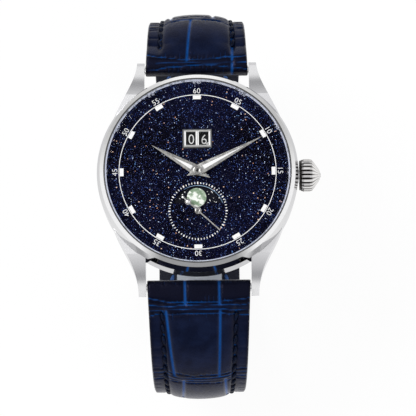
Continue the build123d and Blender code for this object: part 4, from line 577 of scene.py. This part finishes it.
# ---------------------------------------------------------------- crystal, back window and gaskets
# The crystal is domed mineral glass with a coating against reflections, held in the bezel by a
# nylon ring. The flat back window is cemented in, and rubber rings keep water out.
clear_glass = bpy.data.materials.new("clear_glass")
clear_glass.use_nodes = True
tree = clear_glass.node_tree
tree.nodes.remove(tree.nodes["Principled BSDF"])
through = add_node(tree, "ShaderNodeBsdfTransparent")
gloss = add_node(tree, "ShaderNodeBsdfGlossy", Roughness=0.02)
coating = add_node(tree, "ShaderNodeFresnel", IOR=1.05)
waviness = add_node(tree, "ShaderNodeTexNoise", Scale=0.2)
join(tree, place_in_mm(tree), waviness, "Vector")
relief(tree, waviness.outputs["Fac"], gloss, 0.02, 0.01 * mm)
blend = add_node(tree, "ShaderNodeMixShader")
join(tree, coating.outputs["Fac"], blend, "Fac")
tree.links.new(through.outputs["BSDF"], blend.inputs[1])
tree.links.new(gloss.outputs["BSDF"], blend.inputs[2])
join(tree, blend.outputs["Shader"], tree.nodes["Material Output"], "Surface")
nylon = grained("nylon", (0.05, 0.05, 0.05), (0.08, 0.08, 0.08), (0.40, 0.50), 5.0)
rubber = grained("rubber", (0.010, 0.010, 0.010), (0.022, 0.022, 0.022), (0.55, 0.65), 5.0)
finish(clear_glass, "crystal", "case_back_glass")
finish(nylon, "crystal_gasket")
finish(rubber, "case_back_gasket", "crown_gasket")


# ---------------------------------------------------------------- crown
# The crown is turned from steel, fluted with a ball cutter and polished. Its grooves are rougher and
# hold painted shade, fading towards the tip, and a dark band of painted shade rings it by the case.
crown_z, crown_base_x, flute_count = 4.1, 21.3, 24
crown_steel, tree, shader = start_material("crown_steel", metallic=1.0)
split = add_node(tree, "ShaderNodeSeparateXYZ")
join(tree, place_in_mm(tree, shift=(crown_base_x, 0, crown_z)), split, "Vector")
angle = calculate(tree, "ARCTAN2", split.outputs["Z"], split.outputs["Y"])
flutes = calculate(tree, "COSINE", calculate(tree, "MULTIPLY", angle, flute_count))
# Painted shade in the grooves, strongest by the case, and in a band next to the case
groove_share = map_range(tree, flutes, 0.1, -0.8)
towards_tip = map_range(tree, split.outputs["X"], 1.9, 3.4, 1.0, 0.25)
painted_groove_shade = calculate(tree, "MULTIPLY", groove_share, towards_tip)
painted_collar_shade = map_range(tree, split.outputs["X"], 0.62, 0.36, curve="SMOOTHSTEP")
painted_shade_share = calculate(tree, "MAXIMUM", painted_groove_shade, painted_collar_shade)
skin = ramp(
    tree, painted_shade_share, (0.0, (0.80, 0.79, 0.78)), (0.45, (0.46, 0.45, 0.44)), (0.9, (0.03, 0.028, 0.027)),
)
join(tree, skin, shader, "Base Color")
join(tree, map_range(tree, painted_shade_share, 0.0, 1.0, 0.1, 0.4), shader, "Roughness")
finish(crown_steel, "crown")
finish(turned_steel, "crown_tube")


# ---------------------------------------------------------------- strap leather
# Each strap half is calf leather, stamped with a scaled grain, padded over a core and folded
# round its spring bar. Bright blue dye stays in the grooves, and the edges are turned down.
spring_bar_y, spring_bar_z = 23.3 * mm, 2.6 * mm
strap_halves = {"12": (1, 13.0 * mm), "6": (-1, 19.3 * mm)}
loop_centre_y, loop_centre_z, loop_radius = -2.5 * mm, 3.5 * mm, 48.0 * mm
strap_start = 21.75 * mm
strap_end_gap = 4.5 * mm
width_lug, width_clasp = 21.6 * mm, 18.0 * mm
thickness_lug, thickness_clasp = 4.4 * mm, 2.9 * mm
taper_length = 50.0 * mm
lining_thickness = 0.8 * mm
seam_inset = 2.9 * mm
margin_drop_share = 0.42
block_length = 3.5 * mm
edge_rounding, end_softening = 0.45 * mm, 0.6 * mm
seam_width, seam_depth = 0.5 * mm, 0.3 * mm
nose_length, nose_drop = 1.8 * mm, 1.2 * mm
nose_start = {"6": 0.0, "12": 0.45 * mm}

strap_leather, tree, shader = start_material("strap_leather", specular=0.14)
shader.inputs["Specular Tint"].default_value = (0.58, 0.54, 0.86, 1)
shader.inputs["Sheen Weight"].default_value = 0.08
shader.inputs["Sheen Roughness"].default_value = 0.35
shader.inputs["Sheen Tint"].default_value = (0.82, 0.76, 0.95, 1)
groove = add_node(tree, "ShaderNodeAttribute", attribute_name="groove")
place = place_in_mm(tree)
blotches = add_node(tree, "ShaderNodeTexNoise", Scale=0.35, Detail=4.0)
join(tree, place, blotches, "Vector")
scales = ramp(
    tree, blotches.outputs["Fac"], (0.35, (0.0014, 0.0038, 0.0150)), (0.72, (0.0042, 0.0090, 0.0300))
)
dye = ramp(
    tree, groove.outputs["Fac"], (0.28, (0.0, 0.0, 0.0)), (0.62, (0.40, 0.40, 0.40)), (0.95, (1.0, 1.0, 1.0))
)
# Darkening: the edges' own colour, and painted shade in creases, seam channels and over the head block
burnish_and_painted_shade = add_node(tree, "ShaderNodeAttribute", attribute_name="burnish_and_painted_shade")
darkened = mixed(tree, burnish_and_painted_shade.outputs["Fac"], scales, (0.0002, 0.0008, 0.0045))
join(tree, mixed(tree, dye, darkened, (0.002, 0.058, 0.235)), shader, "Base Color")
pores = add_node(tree, "ShaderNodeTexNoise", Scale=2.6, Detail=5.0)
join(tree, place, pores, "Vector")
join(tree, map_range(tree, pores.outputs["Fac"], 0.0, 1.0, 0.18, 0.42), shader, "Roughness")
relief(tree, pores.outputs["Fac"], shader, 0.35, 0.12 * mm)


def strap_arcs(half):
    """A half's three arcs as (centre out, centre up, radius, first angle, last angle), as in the solids."""
    side, turn = strap_halves[half]
    centre = side * loop_centre_y
    reach = spring_bar_y + turn - centre
    reach_z = spring_bar_z - turn
    rise = loop_centre_z - reach_z
    side_radius = (loop_radius**2 - reach**2 - rise**2) / (2 * (loop_radius - reach))
    meeting = math.atan2(-rise, reach - side_radius)
    end = -math.pi / 2 + strap_end_gap / loop_radius
    return (
        (spring_bar_y, reach_z, turn, math.pi / 2, 0),
        (spring_bar_y + turn - side_radius, reach_z, side_radius, 0, meeting),
        (centre, loop_centre_z, loop_radius, meeting, end),
    )


def strap_length(half):
    """Length of a half along its middle."""
    return spring_bar_y - strap_start + sum(
        radius * (first - last) for _, _, radius, first, last in strap_arcs(half)
    )


def strap_line(half, distance):
    """Point of the middle line and the outward direction there, both in the YZ plane."""
    side, _ = strap_halves[half]
    distance -= spring_bar_y - strap_start
    if distance < 0:
        return Vector((0, side * (spring_bar_y + distance), spring_bar_z)), Vector((0, 0, 1))
    for out, up, radius, first, last in strap_arcs(half):
        angle = first - distance / radius
        if distance <= radius * (first - last):
            break
        distance -= radius * (first - last)
    direction = Vector((0, side * math.cos(angle), math.sin(angle)))
    return Vector((0, side * out, up)) + direction * radius, direction


def strap_size(half, distance):
    """Width, thickness and height of the margins above the middle line at a distance from the case."""
    share = min(distance / taper_length, 1)
    width = width_lug + (width_clasp - width_lug) * share
    thickness = thickness_lug + (thickness_clasp - thickness_lug) * share
    start = max(0.05, min((distance - block_length) / block_length, 1))
    end = min((strap_length(half) - distance) / (12 * mm) + 0.5, 1)
    return width, thickness, thickness / 2 - thickness * margin_drop_share * start * end


def end_rounding(half, distance):
    """How far the top falls and the foot rises where a half ends in a round nose by the case."""
    share = max(0.0, 1 - (distance - nose_start[half]) / nose_length)
    return nose_drop * (1 - math.sqrt(1 - share**2))


def wrapped(half, steps, section):
    """A closed skin along a strap half: a grid wrapped round its section and sewn up below.

    The section gives, at a distance, each place's distance across, its height, and its shares of
    dye and of darkening: the dark turned-down edges, and painted shade elsewhere."""
    columns = len(section(nose_start[half])[0])
    shape = bmesh.new()
    bmesh.ops.create_grid(shape, x_segments=columns - 1, y_segments=steps, size=1.0)
    tint_layers = [shape.verts.layers.float.new(name) for name in ("groove", "burnish_and_painted_shade")]
    rows = []
    for row in range(steps + 1):
        distance = nose_start[half] + (strap_length(half) - nose_start[half]) * row / steps
        rows.append((*strap_line(half, distance), *section(distance)))
    for vertex in shape.verts:
        point, outwards, across, heights, *tints = rows[round((vertex.co.y + 1) / 2 * steps)]
        column = round((vertex.co.x + 1) / 2 * (columns - 1))
        for layer, tint in zip(tint_layers, tints):
            vertex[layer] = tint[column]
        vertex.co = point + outwards * heights[column] + Vector((across[column], 0, 0))
    bmesh.ops.remove_doubles(shape, verts=shape.verts, dist=0.0001 * mm)
    bmesh.ops.holes_fill(shape, edges=[edge for edge in shape.edges if edge.is_boundary], sides=0)
    return shape


# Rows of scales, in millimetres along the strap, with the grooves between them across it; each
# groove has its place at the row's start and at its end
scale_rows = {
    "6": (
        (0.0, 4.7, ((-2.95, -2.9), (4.2, 4.3))), (6.6, 20.6, ((-6.9, -5.4), (4.4, 4.1))),
        (22.9, 34.0, ((-3.4, -3.7), (5.4, 5.8))), (36.0, 46.0, ((-5.2, -4.8), (2.6, 2.4))),
        (47.8, 56.5, ((-2.4, -2.6), (4.6, 4.2))), (58.2, 66.0, ((-4.4, -4.1), (1.6, 1.8))),
        (67.6, 74.5, ((-1.6, -1.8), (4.4, 4.2))), (76.0, 92.0, ((-3.6, -3.2), (2.0, 2.2))),
    ),
    "12": (
        (0.0, 2.0, ((7.4, 7.5),)), (3.3, 13.7, ((-2.1, -1.2), (7.5, 7.6))),
        (15.6, 26.0, ((-5.4, -5.8), (3.6, 3.2))), (27.8, 38.0, ((-2.2, -2.0), (5.2, 4.8))),
        (39.6, 48.5, ((-4.6, -4.2), (2.2, 2.4))), (50.2, 58.0, ((-1.4, -1.6), (4.4, 4.2))),
        (59.6, 67.0, ((-3.8, -3.6), (2.4, 2.2))), (68.6, 90.0, ((-1.6, -1.8), (3.4, 3.6))),
    ),
}
stitch_pitch, stitch_length, stitch_start, unsewn_end = 2.5 * mm, 2.3 * mm, 6.5 * mm, 3 * mm
# Grooves as (width in millimetres, depth in millimetres, share of dye)
scale_groove, edge_stroke, stitch_hole = (0.36, 0.42, 1.0), (0.12, 0.10, 0.45), (0.2, 0.12, 0.8)


def groove_lines(half):
    """Segments of the grooves as (along, across, along, across, width, depth, dye), in millimetres."""
    random.seed(5 + len(half))
    lines = []
    rows = scale_rows[half]
    for number, (first, last, grooves) in enumerate(rows):
        for near_place, far_place in grooves:
            lines.append((first - 0.2, near_place, last + 0.3, far_place, *scale_groove))
        # Short strokes where a scale rises out of the creases
        for edge, inwards in ((first, 1), (last, -1)):
            place = -7.3
            while place < 7.3:
                reach = random.uniform(0.4, 1.5)
                lean = random.uniform(-0.3, 0.3)
                lines.append((edge, place, edge + inwards * reach, place + lean, *edge_stroke))
                place += random.uniform(0.6, 1.1)
        # Wavy creases between this row and the next, bowed towards the scales at the sides
        if number + 1 < len(rows):
            crease_count = 4 if rows[number + 1][0] - last > 1.5 else 3
            for crease in range(crease_count):
                share = crease / (crease_count - 1)
                base = last + (rows[number + 1][0] - last) * share
                places = [-10.6, -8.6, -6.4, -4.0, -1.4, 1.4, 4.0, 6.4, 8.6, 10.6]
                alongs = [
                    base + random.uniform(-0.22, 0.22) + (share - 0.5) * 0.9 * (abs(place) / 8) ** 2
                    for place in places
                ]
                deep = 0.30 if crease in (0, crease_count - 1) else 0.18
                for index in range(len(places) - 1):
                    strength = random.uniform(0.65, 1.0)
                    lines.append((
                        alongs[index], places[index], alongs[index + 1], places[index + 1],
                        0.15, deep * strength, 0.95 * strength,
                    ))
    # Ribs of the flat margins, and a touch of dye at every stitch hole
    rib_depth = 0.07 if half == "6" else 0.17
    along = 7.0
    while along < 92:
        for sign in (-1, 1):
            shift = random.uniform(-0.4, 0.4)
            end = along + shift + random.uniform(-0.6, 0.6)
            lines.append((along + shift, sign * 8.4, end, sign * 11.0, 0.24, rib_depth, 0.22))
        along += random.uniform(1.5, 2.7)
    distance = stitch_start - (stitch_pitch - stitch_length) / 2
    while distance < strap_length(half) - unsewn_end:
        seam = (strap_size(half, distance)[0] / 2 - seam_inset) / mm
        for sign in (-1, 1):
            if random.random() < 0.6:
                along, place = distance / mm, sign * seam
                lines.append((along - 0.1, place - 0.1, along + 0.15, place + 0.15, *stitch_hole))
        distance += stitch_pitch
    return lines


def groove_field(lines, along, across):
    """Depth in millimetres and dye from 0 to 1 at points given in millimetres."""
    starts_s, starts_u, ends_s, ends_u, widths, depths, dyes = (column[:, None] for column in lines)
    run_s, run_u = ends_s - starts_s, ends_u - starts_u
    share = np.clip(((along - starts_s) * run_s + (across - starts_u) * run_u) / (run_s**2 + run_u**2), 0, 1)
    gap = np.hypot(along - starts_s - share * run_s, across - starts_u - share * run_u)
    cut = np.exp(-((gap / widths) ** 2))
    return (depths * cut).max(axis=0), (dyes * cut).max(axis=0)


for half in strap_halves:
    lines = np.array(groove_lines(half)).T

    def leather_section(distance):
        """Outline of the leather: a crowned face between flat margins, straight sides and a flat foot."""
        width, thickness, edge = strap_size(half, distance)
        across = np.linspace(-1, 1, 85) * width / 2
        inside = np.clip(1 - (across / (width / 2 - seam_inset)) ** 2, 0, 1)
        height = edge + (thickness / 2 - edge) * inside**0.55
        to_edge = width / 2 - np.abs(across)
        height -= edge_rounding * (1 - np.sqrt(1 - (1 - np.clip(to_edge / edge_rounding, 0, 1)) ** 2))
        to_end = min(distance - nose_start[half], strap_length(half) - distance) / end_softening
        height -= end_softening * max(0.0, 1 - to_end) ** 2
        # The seam pulls the face down into a channel, which starts just before the first stitch
        sewn = min(1.0, max(0.0, (distance - stitch_start) / (2 * mm) + 1))
        to_seam = np.abs(across) - (width / 2 - seam_inset)
        height -= sewn * seam_depth * np.exp(-((to_seam / seam_width) ** 2))
        depth, dye = groove_field(lines, distance / mm, across / mm)
        height -= depth * mm * (to_edge > 0.3 * mm)
        # Dark on the turned-down edges, their own colour; painted shade in the creases between rows, in the
        # seam channels, and over the head block by the case, folded round the spring bar
        burnish_and_painted_shade = 0.9 * np.exp(-((to_edge / (0.6 * mm)) ** 2))
        to_row_end = min(abs(distance / mm - end) for row in scale_rows[half] for end in row[:2])
        burnish_and_painted_shade = np.maximum(burnish_and_painted_shade, 0.8 * math.exp(-((to_row_end / 0.9) ** 2)))
        fold_end = scale_rows[half][0][1]
        burnish_and_painted_shade = np.maximum(burnish_and_painted_shade, 0.85 * min(1.0, max(0.0, fold_end + 0.9 - distance / mm)))
        burnish_and_painted_shade = np.maximum(burnish_and_painted_shade, 0.95 * sewn * np.exp(-((to_seam / (0.6 * mm)) ** 2)))
        height -= end_rounding(half, distance)
        foot = lining_thickness - thickness / 2 + end_rounding(half, distance)
        return (
            [0, -width / 2, *across, width / 2, 0], [foot, foot, *height, foot, foot],
            [0, 0, *dye, 0, 0], [1, 1, *burnish_and_painted_shade, 1, 1],
        )

    skin = wrapped(half, int(strap_length(half) / (0.27 * mm)), leather_section)
    piece = piece_from(skin, f"strap_leather_{half}", strap_leather, "watch", smooth=50)
    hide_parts(f"strap_{half}")


# ---------------------------------------------------------------- strap lining
# Thin dark leather, glued under each half and sewn on with it. Its edges are bevelled.
lining_leather = grained(
    "lining_leather", (0.006, 0.007, 0.012), (0.018, 0.020, 0.031), (0.6, 0.75), 4.0, depth=0.02 * mm,
    specular=0.15,
)
lining_inset, lining_bevel = 0.05 * mm, 0.25 * mm
for half in strap_halves:

    def lining_section(distance):
        """Outline of the lining, flat with two bevelled edges."""
        width, thickness, _ = strap_size(half, distance)
        side, foot = width / 2 - lining_inset, end_rounding(half, distance) - thickness / 2
        top = foot + lining_thickness - lining_inset
        across = [0, -side, -side, -side + lining_bevel, side - lining_bevel, side, side, 0]
        return across, [top, top, foot + lining_bevel, foot, foot, foot + lining_bevel, top, top]

    backing = wrapped(half, int(strap_length(half) / mm), lining_section)
    piece = piece_from(backing, f"strap_backing_{half}", lining_leather, "watch", smooth=40)
    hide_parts(f"strap_lining_{half}")


# ---------------------------------------------------------------- stitches
# Two rows of waxed thread along each half go through leather and lining. A stitch is a short
# rounded length of thread that arches out of its holes, on the outer face and on the lining.
# The outer stitches are darkened almost to black: painted shade of the seam channel over navy stitching
thread_with_painted_shade = grained(
    "thread_with_painted_shade", (0.0006, 0.0010, 0.004), (0.002, 0.007, 0.028), (0.35, 0.5), 3.0, depth=0.01 * mm, specular=0.08
)
lining_thread = grained(
    "lining_thread", (0.01, 0.04, 0.14), (0.02, 0.09, 0.28), (0.5, 0.65), 6.0, depth=0.01 * mm
)
thread_radius, stitch_lean = 0.46 * mm, 0.34 * mm
for half in strap_halves:
    for name, material, inner in (
        (f"stitches_{half}", thread_with_painted_shade, False), (f"lining_stitches_{half}", lining_thread, True)
    ):
        rows = bmesh.new()
        distance = stitch_start
        while distance + stitch_length < strap_length(half) - unsewn_end:
            point, outwards = strap_line(half, distance + stitch_length / 2)
            width, thickness, edge = strap_size(half, distance + stitch_length / 2)
            rise = -thickness / 2 + 0.04 * mm if inner else edge - 0.06 * mm
            for row in (-1, 1):
                across = Vector((row * (width / 2 - seam_inset), 0, 0))
                forwards = Vector((1, 0, 0)).cross(outwards)
                lie = Matrix((
                    (1, forwards.x, outwards.x), (0, forwards.y, outwards.y), (0, forwards.z, outwards.z)
                )).to_4x4()
                place = (
                    Matrix.Translation(point + outwards * rise + across) @ lie
                    @ Matrix.Rotation(row * math.atan2(stitch_lean, stitch_length / 2), 4, "Z")
                    @ Matrix.Diagonal((thread_radius, stitch_length / 2, thread_radius, 1))
                )
                bmesh.ops.create_uvsphere(rows, u_segments=8, v_segments=6, radius=1, matrix=place)
            distance += stitch_pitch
        piece_from(rows, name, material, "watch", smooth=80)


# ---------------------------------------------------------------- spring bars and clasp
# The butterfly clasp is pressed from steel strip: a brushed base blade and two leaves on hinge
# pins, with turned strap bars. Its block and buttons are polished.
# The blades' steel is tinted light and bluish: painted light where they lie in the case's shade, and a
# painted reflection of the blue strap
brushed_blade_painted_light = grained(
    "brushed_blade_painted_light", (0.78, 0.84, 0.93), (0.90, 0.94, 1.0), (0.30, 0.40), 1.0, depth=0.003 * mm,
    stretch=(0.6, 14, 14), metallic=1.0,
)
finish(brushed_blade_painted_light, "clasp_base", "clasp_leaf_12", "clasp_leaf_6")
finish(turned_steel, "spring_bar_12", "spring_bar_6", "clasp_hinge_pins", "clasp_strap_bars")
finish(bright_steel, "clasp_latch_block", "clasp_button_left", "clasp_button_right")


# ---------------------------------------------------------------- floor
# A plain pale sheet on which the watch stands on its clasp. It looks white, in the metal too, and
# keeps the soft shadow of the watch.
floor_z, floor_size = -46.25 * mm, 1.5
shadow_share = 0.08
floor_sheet = bpy.data.materials.new("floor_sheet")
floor_sheet.use_nodes = True
tree = floor_sheet.node_tree
tree.nodes.remove(tree.nodes["Principled BSDF"])
rays = add_node(tree, "ShaderNodeLightPath")
paper = add_node(tree, "ShaderNodeBsdfDiffuse", Color=(0.95, 0.95, 0.95, 1))
glow = add_node(tree, "ShaderNodeEmission", Color=(1, 1, 1, 1), Strength=1.0)
straight = calculate(tree, "MAXIMUM", rays.outputs["Is Camera Ray"], rays.outputs["Is Transmission Ray"])
shown = calculate(tree, "MAXIMUM", straight, rays.outputs["Is Glossy Ray"])
blend = add_node(tree, "ShaderNodeMixShader")
join(tree, calculate(tree, "MULTIPLY", shown, 1 - shadow_share), blend, "Fac")
tree.links.new(paper.outputs["BSDF"], blend.inputs[1])
tree.links.new(glow.outputs["Emission"], blend.inputs[2])
join(tree, blend.outputs["Shader"], tree.nodes["Material Output"], "Surface")
sheet = bmesh.new()
bmesh.ops.create_grid(
    sheet, x_segments=1, y_segments=1, size=floor_size, matrix=Matrix.Translation((0, 0, floor_z))
)
floor_mesh = bpy.data.meshes.new("floor")
sheet.to_mesh(floor_mesh)
sheet.free()
floor_mesh.materials.append(floor_sheet)
floor = bpy.data.objects.new("floor", floor_mesh)
bpy.context.collection.objects.link(floor)


# ---------------------------------------------------------------- world and lamps
# A white studio with a darker ceiling, a bright window on either side and shaded far corners, a
# soft key lamp over the upper left and a weaker fill lamp.
world = bpy.data.worlds.new("studio")
bpy.context.scene.world = world
world.use_nodes = True
tree = world.node_tree
direction = add_node(tree, "ShaderNodeTexCoord")
split = add_node(tree, "ShaderNodeSeparateXYZ")
join(tree, direction.outputs["Generated"], split, "Vector")
studio = ramp(
    tree, map_range(tree, split.outputs["Z"], -1.0, 1.0),
    (0.62, (1.0, 1.0, 1.0)), (0.69, (0.34, 0.34, 0.35)), (0.78, (0.32, 0.32, 0.33)),
    (0.88, (0.56, 0.56, 0.57)), (0.96, (0.70, 0.70, 0.71)), (1.0, (0.90, 0.90, 0.91)),
)
sideways = calculate(tree, "ABSOLUTE", split.outputs["X"])
window = ramp(tree, sideways, (0.30, (0.0, 0.0, 0.0)), (0.64, (0.95, 0.95, 0.96)))
corner = calculate(tree, "MULTIPLY", sideways, split.outputs["Y"])
corner_shade = map_range(tree, corner, 0.15, 0.5, 1.0, 0.55)
room = mixed(tree, 1.0, mixed(tree, 1.0, studio, window, "LIGHTEN"), corner_shade, "MULTIPLY")
join(tree, room, tree.nodes["Background"], "Color")


def lamp(name, place, size, power):
    """A square area lamp at a place, aimed at the watch."""
    light = bpy.data.lights.new(name, "AREA")
    light.energy = power
    light.size = size
    holder = bpy.data.objects.new(name, light)
    holder.location = place
    holder.rotation_euler = (-Vector(place)).to_track_quat("-Z", "Y").to_euler()
    bpy.context.collection.objects.link(holder)


lamp("key_lamp", (-0.28, 0.16, 0.42), 0.26, 1.5)
lamp("fill_lamp", (0.36, -0.22, 0.30), 0.30, 0.7)
bpy.data.objects["fill_lamp"].visible_glossy = False


# ---------------------------------------------------------------- camera
# A long lens, a little below the dial's axis, as in the photograph.
camera_distance, camera_roll = 0.6, math.radians(-0.64)
tilt_out, tilt_up = -0.181, 0.983
look_right, look_down = 2.08 * mm, 7.6 * mm
aim = Vector((look_right, -look_down * tilt_up, dial_top + look_down * tilt_out))
camera_data = bpy.data.cameras.new("camera")
camera_data.sensor_width = 36
camera_data.lens = 249.6
camera = bpy.data.objects.new("camera", camera_data)
stand = aim + camera_distance * Vector((0, tilt_out, tilt_up))
look = (aim - stand).to_track_quat("-Z", "Y").to_matrix().to_4x4()
camera.matrix_world = Matrix.Translation(stand) @ look @ Matrix.Rotation(camera_roll, 4, "Z")
bpy.context.collection.objects.link(camera)
bpy.context.scene.camera = camera
bpy.context.scene.view_settings.view_transform = "Standard"
